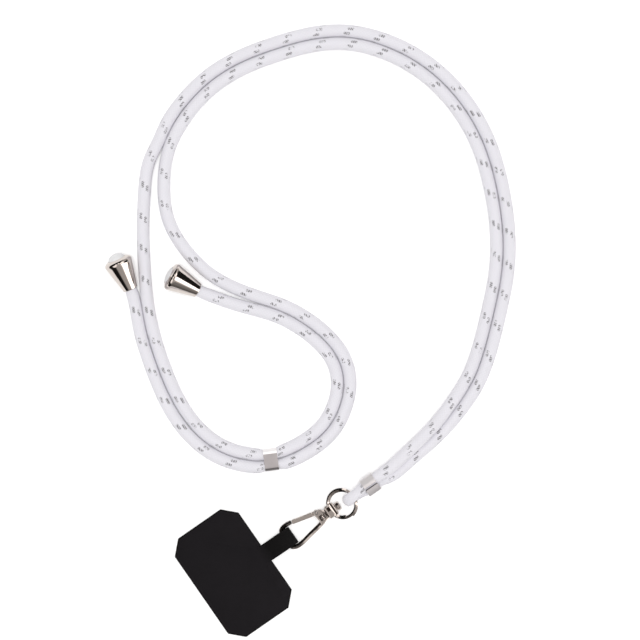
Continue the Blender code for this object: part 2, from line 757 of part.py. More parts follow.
def build_gate_pin(frame):
    profile = (
        (0.0, -BODY_HALF_THICK),
        (PIN_RADIUS, -BODY_HALF_THICK),
        (PIN_RADIUS, BODY_HALF_THICK - 0.25 * MM),
        (PIN_RADIUS - 0.25 * MM, BODY_HALF_THICK),
        (0.0, BODY_HALF_THICK),
    )
    pin = add_mesh("gate_pin", turned(profile, 16), nickel("gate_pin"))
    pin.parent = frame
    pin.location = PIVOT


def tab_outline(grow):
    """Side view of the tab's loop round the hook's bar: u and z, grown outwards by the wall."""
    reach = BAR_REACH + grow
    nose = [
        (TAB_END - TAB_THICK - reach + grow + reach * math.cos(angle), reach * math.sin(angle))
        for angle in (math.radians(20.0 * step - 80.0) for step in range(9))
    ]
    floor = TAB_THICK - CLASP_ORIGIN.z - grow
    tail_height = 0.5 * MM + 2 * grow
    return [
        (TAB_ROOT if grow else PATCH_NEAR + 2.6 * MM, floor),
        (nose[0][0] - 0.6 * MM, floor),
        *nose[1:],
        (BAR_CENTRE, reach),
        (PATCH_NEAR + 6.5 * MM, floor + tail_height + 1.6 * MM),
        (PATCH_NEAR + 2.4 * MM, floor + tail_height + (0.2 * MM if grow else -0.2 * MM)),
        *(((TAB_ROOT, floor + 0.9 * MM),) if grow else ()),
    ]


def tab_slab(grow, low, high):
    """A bmesh of the tab's side view, drawn across the clasp from one side to the other."""
    bm = slab(tab_outline(grow), low, high)
    stand = Matrix(((1, 0, 0, 0), (0, 0, 1, 0), (0, 1, 0, 0), (0, 0, 0, 1)))
    bmesh.ops.transform(bm, matrix=stand, verts=bm.verts)
    return bm


def build_tether_patch(frame):
    """The thin cloth plate with clipped corners, and the tab folded round the hook's bar."""
    low, high = PATCH_SIDES
    clip = PATCH_CLIP
    outline = (
        (PATCH_NEAR, low + clip),
        (PATCH_NEAR, high - clip),
        (PATCH_NEAR - clip, high),
        (PATCH_FAR + clip, high),
        (PATCH_FAR, high - clip),
        (PATCH_FAR, low + clip),
        (PATCH_FAR + clip, low),
        (PATCH_NEAR - clip, low),
    )
    floor = -CLASP_ORIGIN.z
    bm = slab(outline, floor, floor + PATCH_THICK)
    patch = add_mesh("tether_patch", bm, finish_of("tether_patch", PATCH_COLOUR, 0.0, 0.7))
    patch.parent = frame
    tab = add_helper("tab", tab_slab(TAB_THICK, *TAB_SIDES), frame)
    add_boolean(patch, tab, "UNION")
    beyond = 1.0 * MM
    gap = tab_slab(0.0, TAB_SIDES[0] - beyond, TAB_SIDES[1] + beyond)
    add_boolean(patch, add_helper("tab_gap", gap, frame), "DIFFERENCE")


def shift_sheet():
    """Moves every piece by the sheet's shift. The clasp's pieces follow their empty."""
    for piece in bpy.data.objects:
        if piece.parent is None:
            piece.location += SHEET_SHIFT


def main():
    clear_scene()
    build_cord_runs()
    build_cord_fold()
    build_clips()
    build_bells()
    frame = add_clasp_frame()
    build_split_ring(frame)
    build_swivel_eye(frame)
    build_hook(frame)
    build_gate(frame)
    build_gate_pin(frame)
    build_tether_patch(frame)
    shift_sheet()


main()
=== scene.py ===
"""Dresses the phone crossbody strap: cord, metal pieces, tether patch, floor, light and camera.

Lengths are in metres. The clasp's own frame has u along it towards the crimp, v across it and
z up from the swivel's axis, and its pieces are modelled there before they are put in place.
"""

import json
import math

import bmesh
import bpy
import numpy as np
from bpy.props import FloatProperty, FloatVectorProperty, PointerProperty
from mathutils import Matrix, Vector


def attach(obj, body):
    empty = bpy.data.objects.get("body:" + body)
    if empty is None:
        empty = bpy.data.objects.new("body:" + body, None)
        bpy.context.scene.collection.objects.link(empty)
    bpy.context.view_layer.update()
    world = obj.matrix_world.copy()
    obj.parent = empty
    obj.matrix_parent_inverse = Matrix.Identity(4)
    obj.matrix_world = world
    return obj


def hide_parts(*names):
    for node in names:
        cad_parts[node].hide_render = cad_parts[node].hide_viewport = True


bl_info = {
    "name": "Phone Crossbody Strap",
    "version": (1, 0, 0),
    "blender": (4, 5, 0),
    "location": "3D View > Sidebar > Strap",
    "description": "Builds the dressed phone crossbody strap round its packed solids",
    "category": "Add Mesh",
}

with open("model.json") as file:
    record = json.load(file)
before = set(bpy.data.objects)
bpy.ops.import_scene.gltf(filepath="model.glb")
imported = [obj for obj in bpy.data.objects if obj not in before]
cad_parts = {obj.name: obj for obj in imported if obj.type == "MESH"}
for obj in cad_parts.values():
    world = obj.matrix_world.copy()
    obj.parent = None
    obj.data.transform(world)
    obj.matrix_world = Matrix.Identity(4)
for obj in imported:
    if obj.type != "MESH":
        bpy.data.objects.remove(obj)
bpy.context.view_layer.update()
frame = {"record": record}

MM = 0.001
UP = Vector((0.0, 0.0, 1.0))

# The places of the colour sockets on a Mix node
COLOUR_A, COLOUR_B, COLOUR_RESULT = 6, 7, 2

# The material that most of the metal pieces share
NICKEL = "nickel_polished"

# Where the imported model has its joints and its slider, and the clasp's frame from them
JOINTS = {joint["name"]: joint for joint in frame["record"]["behaviour"]["joints"]}
SWIVEL_AT = Vector(JOINTS["swivel"]["pos_m"])
SWIVEL_AXIS = Vector(JOINTS["swivel"]["axis"])
CLASP_TURN = math.atan2(SWIVEL_AXIS.y, SWIVEL_AXIS.x)
CLASP = Matrix.Translation(SWIVEL_AT) @ Matrix.Rotation(CLASP_TURN, 4, "Z")
PIVOT = CLASP.inverted() @ Vector(JOINTS["gate_hinge"]["pos_m"])

# The whole sheet's shift, which centres the metal and cloth pieces over the origin
SHEET_SHIFT = Vector((-0.39 * MM, 0.07 * MM, 0.0))

# The clips: where they sit on the sheet, their turn, and how the cord is squeezed in them
SLIDER_AT = Vector((14.2 * MM, -7.2 * MM, 3.5 * MM))
SLIDER_TURN = math.radians(7.6)
SLIDER_SIZE = (11.1 * MM, 7.0 * MM, 2.4 * MM)
SLIDER_SEAM = 0.8 * MM
CRIMP_AT = Vector((64.3 * MM, -19.8 * MM, 5.95 * MM))
CRIMP_ROLL = math.radians(62.0)
CRIMP_SIZE = (11.6 * MM, 7.0 * MM, 2.6 * MM)
CLIP_LENGTH = 7.0 * MM
CLIP_WALL = 0.6 * MM
CLIP_SQUEEZE = 1.5 * MM
CLIP_CORD_RADIUS = 2.42 * MM
CLIP_CORD_TALL = 1.16
CRIMP_CORD_RADIUS = 2.6 * MM
CRIMP_CORD_HALF = 2.58 * MM

# How far the painted shade or highlight of a clip's corner reaches on to the flats beside it
CLIP_GUARD = 0.15 * MM

# The shades of the clips' plate, between 0 for the darkest painted shade and 1 for the brightest
# painted highlight, with AS_PLATED unpainted
AS_PLATED = 0.5
SLIDER_EDGE_SHADE = 0.85
SLIDER_FLAT_SHADE = AS_PLATED - 0.12
CRIMP_END_SHADE = 0.715
CRIMP_FLAT_SHADE = AS_PLATED - 0.06
CRIMP_FADE = 0.16

# The angles round the crimp's low corner, in degrees, between which its seam has a painted shadow
CRIMP_SEAM_FROM, CRIMP_SEAM_TO = -78.0, -42.0

# The line between the two runs, from the crimp up the right side and over the top:
# x, y in millimetres, and roll in degrees, which lifts the inner run on to the outer one
PAIR_TOP = (
    (72.8, -14.5, 56), (81.7, -7.3, 48), (97.8, 7.7, 34), (108.0, 20.1, 18), (116.2, 33.0, 6),
    (122.1, 48.6, 0), (126.7, 66.8, 0), (130.1, 83.5, 0), (131.4, 99.7, 0), (130.4, 115.9, 0),
    (127.4, 133.1, 0), (121.9, 151.3, 0), (111.8, 170.0, 0), (99.8, 184.0, 0), (85.4, 194.9, 0),
    (70.2, 202.0, 0), (53.1, 205.9, 0), (34.1, 204.7, 0), (16.4, 199.9, 0), (-1.3, 193.0, 0),
    (-16.4, 183.6, 0), (-27.5, 172.7, 0), (-35.9, 160.5, 0), (-40.2, 151.0, 0),
)

# The line between the two runs down the left side, through the slider and round the small
# loop: x, y in millimetres, with close rows on each side of the slider
PAIR_LOOP = (
    (-51.4, 72.3), (-48.8, 58.2), (-44.4, 43.5), (-38.2, 27.7), (-29.8, 13.0), (-18.7, 1.4),
    (-6.6, -5.2), (5.3, -7.8), (7.8, -7.95), (9.6, -7.8), (10.8, -7.66), (17.6, -6.74),
    (18.8, -6.5), (20.6, -5.95), (22.8, -5.15), (32.0, -0.5), (42.6, 8.3), (49.0, 20.1),
    (50.9, 32.9), (47.7, 44.3), (39.9, 54.2), (29.2, 62.4), (18.6, 67.9),
)

# The stretches where a run lies by itself: x, y in millimetres
OUTER_LEFT = ((-47.0, 144.2), (-49.7, 128.0), (-50.4, 111.3), (-50.1, 97.0), (-49.3, 84.0))
INNER_LEFT = (
    (-39.4, 139.2), (-39.8, 126.5), (-37.8, 114.4), (-33.1, 104.5), (-25.8, 94.9), (-16.2, 86.2),
    (-5.0, 79.9), (7.2, 75.2),
)
OUTER_TO_BELL = ((4.6, 68.8), (-7.6, 72.4), (-17.2, 75.9))
INNER_TO_BELL = ((-55.8, 76.6),)

# The bells: each narrow end's centre on the sheet, and the way to the wide end
BELLS = {
    "left": (Vector((-56.7 * MM, 79.0 * MM, 0.0)), math.radians(114.4)),
    "right": (Vector((-22.6 * MM, 78.2 * MM, 0.0)), math.radians(152.2)),
}
BELL_LENGTH = 17.1 * MM
BELL_WIDE = 7.15 * MM
BELL_NARROW = 3.8 * MM
BELL_WALL = 0.7 * MM
BELL_SHOULDER = 2.4 * MM
BELL_ROUND = 1.9 * MM
BELL_MOUTH = 4.35 * MM
BELL_TILT = math.atan2(BELL_WIDE - BELL_NARROW, BELL_LENGTH - BELL_SHOULDER)
BELL_CORD_RADIUS = 2.95 * MM
BELL_CORD_DEPTH = 5.0 * MM
TABLE_GAP = 0.1 * MM
PLUG_RISE = {"left": 2.7 * MM, "right": 1.0 * MM}
PLUG_SEAT = 3.4 * MM

# How much the free cord swells and shrinks, in two slow waves over each other, and the part
# of its radius above which it counts as free
SWELL = 0.008
SWELL_WAVES = (0.37, 0.11)
FREE_SHARE = 0.97

# The braid's yarns each way, and its grey flecks: how many lie round the cord, by what part of
# a turn they lie ahead, which leaves the fold's end clear, and how they slant
BRAID_YARNS = 12
FLECK_CLUSTERS = 8
FLECK_PHASE = 0.68
FLECK_SLANT = 0.7

# Where a fleck's gaps, length and width fade, and how it shows on the sides and where it's worn
FLECK_GAP = (0.25, 0.38)
FLECK_LONG = (1.3, 1.8)
FLECK_WIDE = (0.5, 0.9)
FLECK_FACING = (0.35, 0.85)
FLECK_WEAR = (0.34, 0.54)

# The fold through the ring
FOLD_BEND = 3.9 * MM
FOLD_APEX = 13.9 * MM
FOLD_HEIGHT = 6.95 * MM
FOLD_SWAY = 0.4 * MM
FOLD_LIMB_RADIUS = 2.7 * MM
FOLD_APEX_RADIUS = 2.35 * MM
FOLD_APEX_WIDE = 1.3

# The split ring, the swivel eye and the hook, in the clasp's frame
RING_OUTER = 7.95 * MM
RING_WIRE = 1.45 * MM
RING_WIRE_HEIGHT = 0.78 * MM
RING_RIDGE = 2.0
RING_PITCH = 0.78 * MM
RING_SHEAR = 0.7 * MM
RING_SHEAR_WAY = math.radians(250.0)
RING_TURNS = 1.93
RING_START = math.radians(-81.0)
RING_TILT = math.radians(18.0)
RING_IN_EYE = 2.4 * MM
RING_ACROSS = -0.25 * MM
EYE_LOW = Vector((0.3 * MM, -3.3 * MM, -2.2 * MM))
EYE_HIGH = Vector((5.5 * MM, 3.3 * MM, 2.2 * MM))
TUNNEL_NEAR = 0.9 * MM
TUNNEL_FAR = 4.3 * MM
TUNNEL_HALF_HEIGHT = 1.6 * MM
WINDOW_LOW = Vector((1.3 * MM, 0.2 * MM, 1.75 * MM))
WINDOW_HIGH = Vector((2.95 * MM, 2.35 * MM, 3.2 * MM))

# Side view of the eye's groove and of the ramp before it, and two corners of the groove's floor:
# u and z in millimetres
GROOVE = ((3.05, 3.2), (3.05, 2.2), (3.85, 1.9), (3.85, 1.7), (4.7, 1.7), (4.7, 3.2))
GROOVE_FLOOR = ((3.8, 1.6), (4.75, 1.8))
NECK_RADIUS = 1.6 * MM
KNOB_RADIUS = 2.3 * MM
KNOB_NEAR = 6.1 * MM
KNOB_FAR = 8.1 * MM
POST_RADIUS = 0.85 * MM
POST_BORE = 1.15 * MM
POST_HEAD = 1.4 * MM
POST_HEAD_NEAR = 1.15 * MM
POST_HEAD_FAR = 1.35 * MM
COLLAR_RADIUS = 2.2 * MM
COLLAR_NEAR = -0.4 * MM
COLLAR_FAR = 0.18 * MM
BODY_HALF_THICK = 2.15 * MM
PIN_RADIUS = 0.6 * MM
PIN_HOLE = 0.9 * MM
SLOT_RADIUS = 2.15 * MM
SLOT_HALF_HEIGHT = 0.95 * MM
GATE_TURN = math.radians(166.2)
GATE_START = 1.95 * MM
GATE_LENGTH = 13.35 * MM
GATE_HALF_WIDTH = 1.15 * MM
GATE_HALF_THICK = 1.05 * MM

# The hook's rod from the body along the lower arm, up the bar and round the nose:
# u, v, half width and half height in millimetres
HOOK_ROD = (
    (-3.4, -2.2, 1.25, 1.4), (-6.6, -2.98, 1.22, 1.1), (-9.8, -3.53, 1.2, 0.98),
    (-13.0, -4.05, 1.18, 0.95), (-19.6, -5.15, 1.17, 0.95), (-22.1, -4.95, 1.17, 0.95),
    (-23.8, -3.9, 1.15, 0.95), (-24.45, -2.2, 1.08, 0.95), (-24.45, 1.2, 1.05, 0.95),
    (-24.4, 4.4, 1.10, 0.95), (-23.5, 6.1, 1.15, 0.95), (-21.5, 6.9, 1.15, 0.95),
    (-19.4, 6.97, 1.12, 0.95), (-17.2, 6.62, 1.05, 0.95),
)
ROD_RIDGE = 1.85

# The nose's end, which has painted shade: its least u, and where it lies from the gate's pivot
NOSE_NOTCH = -17.6 * MM
NOSE_FROM_PIVOT = (-10.0 * MM, 2.5 * MM)

# Outline of the hook's body with the lug round the gate's pivot: u, v in millimetres
HOOK_BODY = (
    (0.0, -2.4), (0.0, 2.4), (-1.0, 3.3), (-2.2, 4.0), (-3.6, 4.4), (-4.9, 4.3), (-5.6, 3.5),
    (-5.5, 2.2), (-5.0, -1.4), (-5.3, -2.6), (-5.7, -3.4), (-5.0, -3.75), (-2.6, -2.95),
)

# The pocket in the body's top and the coil spring in it: u, v in millimetres
POCKET = ((-1.3, -1.7), (-1.3, 1.2), (-4.3, 1.2), (-4.3, -1.7))
POCKET_FLOOR = 0.9 * MM
POCKET_LIP = 1.8 * MM
SPRING_RADIUS = 0.95 * MM
SPRING_WIRE = 0.27 * MM
SPRING_TURNS = 3.0

# The tether patch and its tab, in the clasp's frame
PATCH_NEAR = -36.4 * MM
PATCH_FAR = -75.6 * MM
PATCH_LOW = -28.2 * MM
PATCH_HIGH = 32.3 * MM
PATCH_CLIP = 6.6 * MM
PATCH_THICK = 1.0 * MM
TAB_LOW = -3.7 * MM
TAB_HIGH = 5.6 * MM
TAB_END = -19.7 * MM
TAB_ROOT = -40.0 * MM

# Area, in square metres, above which a face of the pad is its top
PAD_LEAST_TOP = 0.001

# The hook's bar that the tab goes round, in the clasp's frame
BAR_CENTRE = -24.45 * MM
BAR_REACH = 1.35 * MM

# The photograph's frame: its side, the pixel at the sheet's zero, and the size of a pixel
PHOTO_SIDE = 640
ZERO_PIXEL = (243, 445)
PIXEL = 0.506 * MM

# What the metal mirrors beside the panels, and how softly a panel ends, in degrees
STUDIO_BASE = 0.53
PANEL_EDGE = 3.0
DOME_COLOUR = (1.0, 0.99, 0.98, 1.0)
STUDIO_COLOUR = (1.0, 0.955, 0.925, 1.0)

# The studio's panels and dark flags, each over those before it: the azimuth of its middle,
# half its width, its least and greatest tilt from overhead, all in degrees, and its brightness
STUDIO_PANELS = (
    (278, 30, 44, 95, 0.5), (285, 22, 58, 95, 0.26), (282, 22, 72, 95, 0.15),
    (205, 42, 22, 50, 1.5), (205, 26, 56, 99, 0.02), (245, 14, 56, 98, 0.012),
    (16, 21, 50, 98, 0.015), (134, 44, 38, 98, 0.015), (133, 10, 20, 60, 0.015),
    (114, 8, 16, 42, 1.7), (152, 8, 16, 42, 1.7), (332, 20, 34, 88, 1.0), (336, 16, 34, 88, 3.1),
    (45, 30, 14, 46, 2.1),
)


def colour_property(name, description, default):
    return FloatVectorProperty(
        name=name, description=description, default=default, subtype="COLOR", min=0.0, max=1.0
    )


def length_property(name, description, default):
    return FloatProperty(
        name=name, description=description, default=default, unit="LENGTH", precision=5, min=0.0
    )


class StrapCordSettings(bpy.types.PropertyGroup):
    """Sizes and colours of the braided cord."""

    radius: length_property("Radius", "Half of the cord's width where it lies free", 3.2 * MM)
    pair_half: length_property("Pair half", "Half of the way between two runs", 3.25 * MM)
    fleck_pitch: length_property("Fleck pitch", "Way along the cord between flecks", 15.8 * MM)
    base: colour_property("Base", "Colour of the white yarns", (0.72, 0.71, 0.755))
    fleck: colour_property("Fleck", "Colour of the silver-grey yarns", (0.11, 0.105, 0.11))
    plug: colour_property("Plug", "Colour of the white plugs", (0.74, 0.74, 0.75))


class StrapMetalSettings(bpy.types.PropertyGroup):
    """Colours of the metal pieces."""

    nickel: colour_property("Nickel", "Colour of the polished nickel", (0.61, 0.555, 0.52))
    # The next colour paints shade into the recesses of the nickel pieces
    recess_shade: colour_property("Recess", "Colour of the tarnish in recesses", (0.03, 0.022, 0.018))
    satin: colour_property("Satin", "Colour of the satin clips", (0.56, 0.52, 0.525))
    # The next colour paints the highlight on the clips' bright edges
    painted_highlight: colour_property("Burnished", "Colour of the clips' bright edges", (0.95, 0.93, 0.93))


class StrapPatchSettings(bpy.types.PropertyGroup):
    """Colours and weave of the tether patch."""

    cloth: colour_property("Cloth", "Colour of the black cloth", (0.0052, 0.0044, 0.0056))
    rim: colour_property("Rim", "Colour of the cut rim", (0.002, 0.0018, 0.002))
    thread: length_property("Thread", "Way from one thread of the weave to the next", 0.42 * MM)


class StrapStageSettings(bpy.types.PropertyGroup):
    """The floor, the light and the camera."""

    floor: colour_property("Floor", "Colour of the floor", (0.96, 0.96, 0.96))
    glow: FloatProperty(
        name="Glow", description="Brightness of the floor's own glow, as on a light table", default=0.1
    )
    overhead: FloatProperty(
        name="Overhead", description="Brightness that the lamp above gives white", default=0.48
    )
    dome: FloatProperty(
        name="Dome", description="Brightness of the even dome round the sheet", default=0.73
    )
    lens: FloatProperty(
        name="Lens", description="Focal length of the camera", default=180.0, unit="CAMERA"
    )


def smooth_step(part):
    part = min(max(part, 0.0), 1.0)
    return part * part * (3.0 - 2.0 * part)


def flat(angle):
    return Vector((math.cos(angle), math.sin(angle), 0.0))


def left_of(ahead):
    return Vector((-ahead.y, ahead.x, 0.0))


def lerp(start, end, part):
    return start + (end - start) * part


def arc(middle, radius, degrees, tall=None):
    """Points on an arc, one for each angle. One that is tall has another radius upwards."""
    tall = radius if tall is None else tall
    angles = [math.radians(angle) for angle in degrees]
    x, y = middle
    return [(x + radius * math.cos(angle), y + tall * math.sin(angle)) for angle in angles]


def spline(rows, step):
    """Rows on a natural cubic spline through the first three columns, one every step.

    The columns after the first three go smoothly from row to row without overshooting.
    """
    points = np.array(rows, dtype=float)
    gaps = np.linalg.norm(np.diff(points[:, :3], axis=0), axis=1)
    count = len(points)
    system = np.eye(count)
    right = np.zeros((count, 3))
    for i in range(1, count - 1):
        system[i, i - 1 : i + 2] = gaps[i - 1], 2 * (gaps[i - 1] + gaps[i]), gaps[i]
        ahead = (points[i + 1, :3] - points[i, :3]) / gaps[i]
        behind = (points[i, :3] - points[i - 1, :3]) / gaps[i - 1]
        right[i] = 6 * (ahead - behind)
    bends = np.linalg.solve(system, right)
    made = []
    for row in range(count - 1):
        pieces = max(1, round(gaps[row] / step))
        for piece in range(pieces):
            end = piece / pieces
            start = 1 - end
            lift = (start**3 - start) * bends[row] + (end**3 - end) * bends[row + 1]
            place = start * points[row, :3] + end * points[row + 1, :3] + lift * gaps[row] ** 2 / 6
            ease = smooth_step(end)
            made.append((*place, *((1 - ease) * points[row, 3:] + ease * points[row + 1, 3:])))
    made.append(tuple(points[-1]))
    return np.array(made)


def carried_frames(points, first_up):
    """Unit side and up vectors along a line, carried from place to place without twist."""
    ahead = np.gradient(points, axis=0)
    ahead /= np.linalg.norm(ahead, axis=1)[:, None]
    ups = []
    up = np.array(first_up, dtype=float)
    for direction in ahead:
        up = up - direction * np.dot(up, direction)
        up /= np.linalg.norm(up)
        ups.append(up)
    ups = np.array(ups)
    return np.cross(ahead, ups), ups


def tube(centres, sides_x, ups_x, steps, ridge=1.0):
    """A bmesh tube on a grid that is wrapped round the line, with its UV map in metres and turns.

    The ring at each place is centre + side * cos + up * sin, so the vectors hold the half sizes.
    A ridge above 1 draws the section in between its four ends, and 2 makes it a diamond.
    """
    bm = bmesh.new()
    uv_map = bm.loops.layers.uv.new("UVMap")
    rings = len(centres)
    bmesh.ops.create_grid(bm, x_segments=rings - 1, y_segments=steps, size=1.0)
    travel = np.concatenate([[0.0], np.cumsum(np.linalg.norm(np.diff(centres, axis=0), axis=1))])
    spots = {vert: ((vert.co.x + 1) / 2, (vert.co.y + 1) / 2) for vert in bm.verts}
    for face in bm.faces:
        for loop in face.loops:
            along, turn = spots[loop.vert]
            loop[uv_map].uv = (travel[round(along * (rings - 1))], turn)
    for vert, (along, turn) in spots.items():
        ring = round(along * (rings - 1))
        cosine, sine = math.cos(math.tau * turn), math.sin(math.tau * turn)
        beside = math.copysign(abs(cosine) ** ridge, cosine)
        above = math.copysign(abs(sine) ** ridge, sine)
        vert.co = centres[ring] + sides_x[ring] * beside + ups_x[ring] * above
    bmesh.ops.remove_doubles(bm, verts=bm.verts, dist=0.001 * MM)
    ends = [edge for edge in bm.edges if edge.is_boundary]
    bmesh.ops.holes_fill(bm, edges=ends, sides=steps)
    return bm


def rod_along(rows, step, steps):
    """A bmesh rod along flat rows of u, v, half width and half height, with rounded sides."""
    route = spline([(u * MM, v * MM, 0.0, wide * MM, tall * MM) for u, v, wide, tall in rows], step)
    sides, ups = carried_frames(route[:, :3], UP)
    return tube(route[:, :3], sides * route[:, 3:4], ups * route[:, 4:5], steps, ROD_RIDGE)


def turned(profile, steps, ring=False):
    """A bmesh turned about Z from (radius, height) rows. A ring profile closes on itself."""
    bm = bmesh.new()
    verts = [bm.verts.new((radius, 0.0, height)) for radius, height in profile]
    edges = [bm.edges.new(pair) for pair in zip(verts, verts[1:])]
    if ring:
        edges.append(bm.edges.new((verts[-1], verts[0])))
    bmesh.ops.spin(
        bm, geom=verts + edges, axis=(0, 0, 1), angle=math.tau, steps=steps, use_merge=True
    )
    bmesh.ops.remove_doubles(bm, verts=bm.verts, dist=0.001 * MM)
    return bm


def along_u(bm):
    """Turns a bmesh that was made along Z so that it lies along the clasp's u."""
    turn = Matrix.Rotation(math.radians(90.0), 4, "Y")
    bmesh.ops.transform(bm, matrix=turn, verts=bm.verts)
    return bm


def slab(outline, low, high):
    """A bmesh of a flat outline, raised from low to high along Z."""
    bm = bmesh.new()
    bottom = bm.faces.new([bm.verts.new((x, y, low)) for x, y in outline])
    raised = bmesh.ops.extrude_face_region(bm, geom=[bottom], use_keep_orig=True)
    top = [item for item in raised["geom"] if isinstance(item, bmesh.types.BMVert)]
    bmesh.ops.translate(bm, verts=top, vec=(0.0, 0.0, high - low))
    bmesh.ops.recalc_face_normals(bm, faces=bm.faces)
    return bm


def slab_across(outline, low, high):
    """A bmesh of a side view in u and z, drawn across the clasp from low to high."""
    bm = slab(outline, low, high)
    stand = Matrix(((1, 0, 0, 0), (0, 0, 1, 0), (0, 1, 0, 0), (0, 0, 0, 1)))
    bmesh.ops.transform(bm, matrix=stand, verts=bm.verts)
    bmesh.ops.recalc_face_normals(bm, faces=bm.faces)
    return bm


def block(low, high):
    """A bmesh box between two corners."""
    bm = bmesh.new()
    size = Vector(high) - Vector(low)
    place = Matrix.Translation((Vector(high) + Vector(low)) / 2) @ Matrix.Diagonal((*size, 1.0))
    bmesh.ops.create_cube(bm, size=1.0, matrix=place)
    return bm


def in_metres(outline):
    return [(x * MM, y * MM) for x, y in outline]


def soften(bm, width, segments, from_angle=40.0):
    """Rounds every edge that is sharper than an angle."""
    limit = math.radians(from_angle)
    edges = [edge for edge in bm.edges if edge.calc_face_angle(0.0) > limit]
    bmesh.ops.bevel(
        bm, geom=edges, offset=width, offset_type="OFFSET", segments=segments, profile=0.5,
        affect="EDGES", material=-1, clamp_overlap=True,
    )
    return bm


def paint(bm, name, value_at):
    """Gives each vert of a bmesh its value of an attribute, which goes by its place."""
    layer = bm.verts.layers.float.new(name)
    for vert in bm.verts:
        vert[layer] = value_at(*vert.co)


def mesh_of(name, bm):
    """A mesh with the faces of a bmesh, which is freed."""
    mesh = bpy.data.meshes.new(name)
    bm.to_mesh(mesh)
    bm.free()
    return mesh


def linked(name, data):
    """An object of some data, linked to the scene."""
    made = bpy.data.objects.new(name, data)
    bpy.context.scene.collection.objects.link(made)
    return made


def carve(base, steps):
    """Joins or cuts a bmesh by others in turn, and returns the result as a bmesh."""
    helpers = []
    for bm in [base] + [bm for bm, _ in steps]:
        bmesh.ops.recalc_face_normals(bm, faces=bm.faces)
        helpers.append(linked("helper", mesh_of("helper", bm)))
    for helper, (_, operation) in zip(helpers[1:], steps):
        modifier = helpers[0].modifiers.new(operation, "BOOLEAN")
        modifier.operation = operation
        modifier.object = helper
    graph = bpy.context.evaluated_depsgraph_get()
    mesh = bpy.data.meshes.new_from_object(helpers[0].evaluated_get(graph))
    result = bmesh.new()
    result.from_mesh(mesh)
    bpy.data.meshes.remove(mesh)
    for helper in helpers:
        mesh = helper.data
        bpy.data.objects.remove(helper, do_unlink=True)
        bpy.data.meshes.remove(mesh)
    return result


def add_piece(name, bm, material, body, nodes, place=None, sharp=40.0):
    """Makes a finished piece of a bmesh, which rides on a body and stands for CAD nodes."""
    if place is not None:
        bmesh.ops.transform(bm, matrix=place, verts=bm.verts)
    bmesh.ops.recalc_face_normals(bm, faces=bm.faces)
    mesh = mesh_of(name, bm)
    mesh.shade_smooth()
    mesh.set_sharp_from_angle(angle=math.radians(sharp))
    mesh.materials.append(material)
    piece = linked(name, mesh)
    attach(piece, body)
    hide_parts(*nodes)
    return piece


def add_nickel(name, bm, body, nodes, place, sharp=40.0):
    """Makes a finished piece of polished nickel."""
    settings = bpy.context.scene.strap_metal
    material = bpy.data.materials.get(NICKEL) or nickel_material(settings)
    add_piece(name, bm, material, body, nodes, place, sharp)


class Nodes:
    """A material's or a world's node tree, with one short call for each node and its links."""

    def __init__(self, name, tree=None):
        if tree is None:
            self.material = bpy.data.materials.new(name)
            self.material.use_nodes = True
            tree = self.material.node_tree
        self.tree = tree
        self.shader = tree.nodes.get("Principled BSDF")

    def add(self, kind, **inputs):
        """A node whose inputs are given by name or, as input_0 and so on, by place."""
        node = self.tree.nodes.new(kind)
        for key, value in inputs.items():
            place = int(key[6:]) if key.startswith("input_") else key.replace("_", " ").title()
            self.feed(node.inputs[place], value)
        return node

    def feed(self, socket, value):
        if isinstance(value, bpy.types.NodeSocket):
            self.tree.links.new(value, socket)
        else:
            socket.default_value = value

    def surface(self, **inputs):
        """Feeds the shader's inputs, which are given by name."""
        for key, value in inputs.items():
            self.feed(self.shader.inputs[key.replace("_", " ").title()], value)

    def math(self, operation, first, second=0.0, third=0.0):
        node = self.add("ShaderNodeMath", input_0=first, input_1=second, input_2=third)
        node.operation = operation
        return node.outputs[0]

    def rest(self, value):
        return self.math("SUBTRACT", 1.0, value)

    def off_middle(self, value):
        """How far a value lies past the middle of its own unit."""
        return self.math("SUBTRACT", self.math("FRACT", value), 0.5)

    def ease(self, value, low, high):
        """Goes smoothly from 0 at low to 1 at high."""
        node = self.tree.nodes.new("ShaderNodeMapRange")
        node.interpolation_type = "SMOOTHSTEP"
        self.feed(node.inputs["Value"], value)
        node.inputs["From Min"].default_value = low
        node.inputs["From Max"].default_value = high
        return node.outputs["Result"]

    def mix(self, amount, first, second):
        node = self.tree.nodes.new("ShaderNodeMix")
        node.data_type = "RGBA"
        self.feed(node.inputs["Factor"], amount)
        self.feed(node.inputs[COLOUR_A], first)
        self.feed(node.inputs[COLOUR_B], second)
        return node.outputs[COLOUR_RESULT]

    def tinted(self, amount, colour, share):
        """A colour that an amount takes to a share of itself."""
        return self.mix(amount, opaque(colour), opaque([part * share for part in colour]))

    def attribute(self, name):
        node = self.tree.nodes.new("ShaderNodeAttribute")
        node.attribute_name = name
        return node.outputs["Fac"]

    def place(self, output):
        return self.add("ShaderNodeTexCoord").outputs[output]

    def noise(self, scale, detail=3.0, coordinates=None):
        source = coordinates or self.place("Object")
        node = self.add("ShaderNodeTexNoise", vector=source, scale=scale, detail=detail)
        return node.outputs["Fac"]

    def bump(self, height, strength, distance):
        node = self.add("ShaderNodeBump", height=height, strength=strength, distance=distance)
        self.feed(self.shader.inputs["Normal"], node.outputs["Normal"])

    def weave(self, first, second):
        """Height of two sets of yarns, which go over and under each other in turn."""
        floors = self.math("ADD", self.math("FLOOR", first), self.math("FLOOR", second))
        over = self.math("PINGPONG", floors, 1.0)
        backs = []
        for line in (first, second):
            part = self.math("MULTIPLY", self.math("FRACT", line), math.pi)
            backs.append(self.math("SINE", part))
        above = self.math("MULTIPLY", backs[0], over)
        return self.math("ADD", above, self.math("MULTIPLY", backs[1], self.rest(over)))


def opaque(colour):
    return (*colour, 1.0)


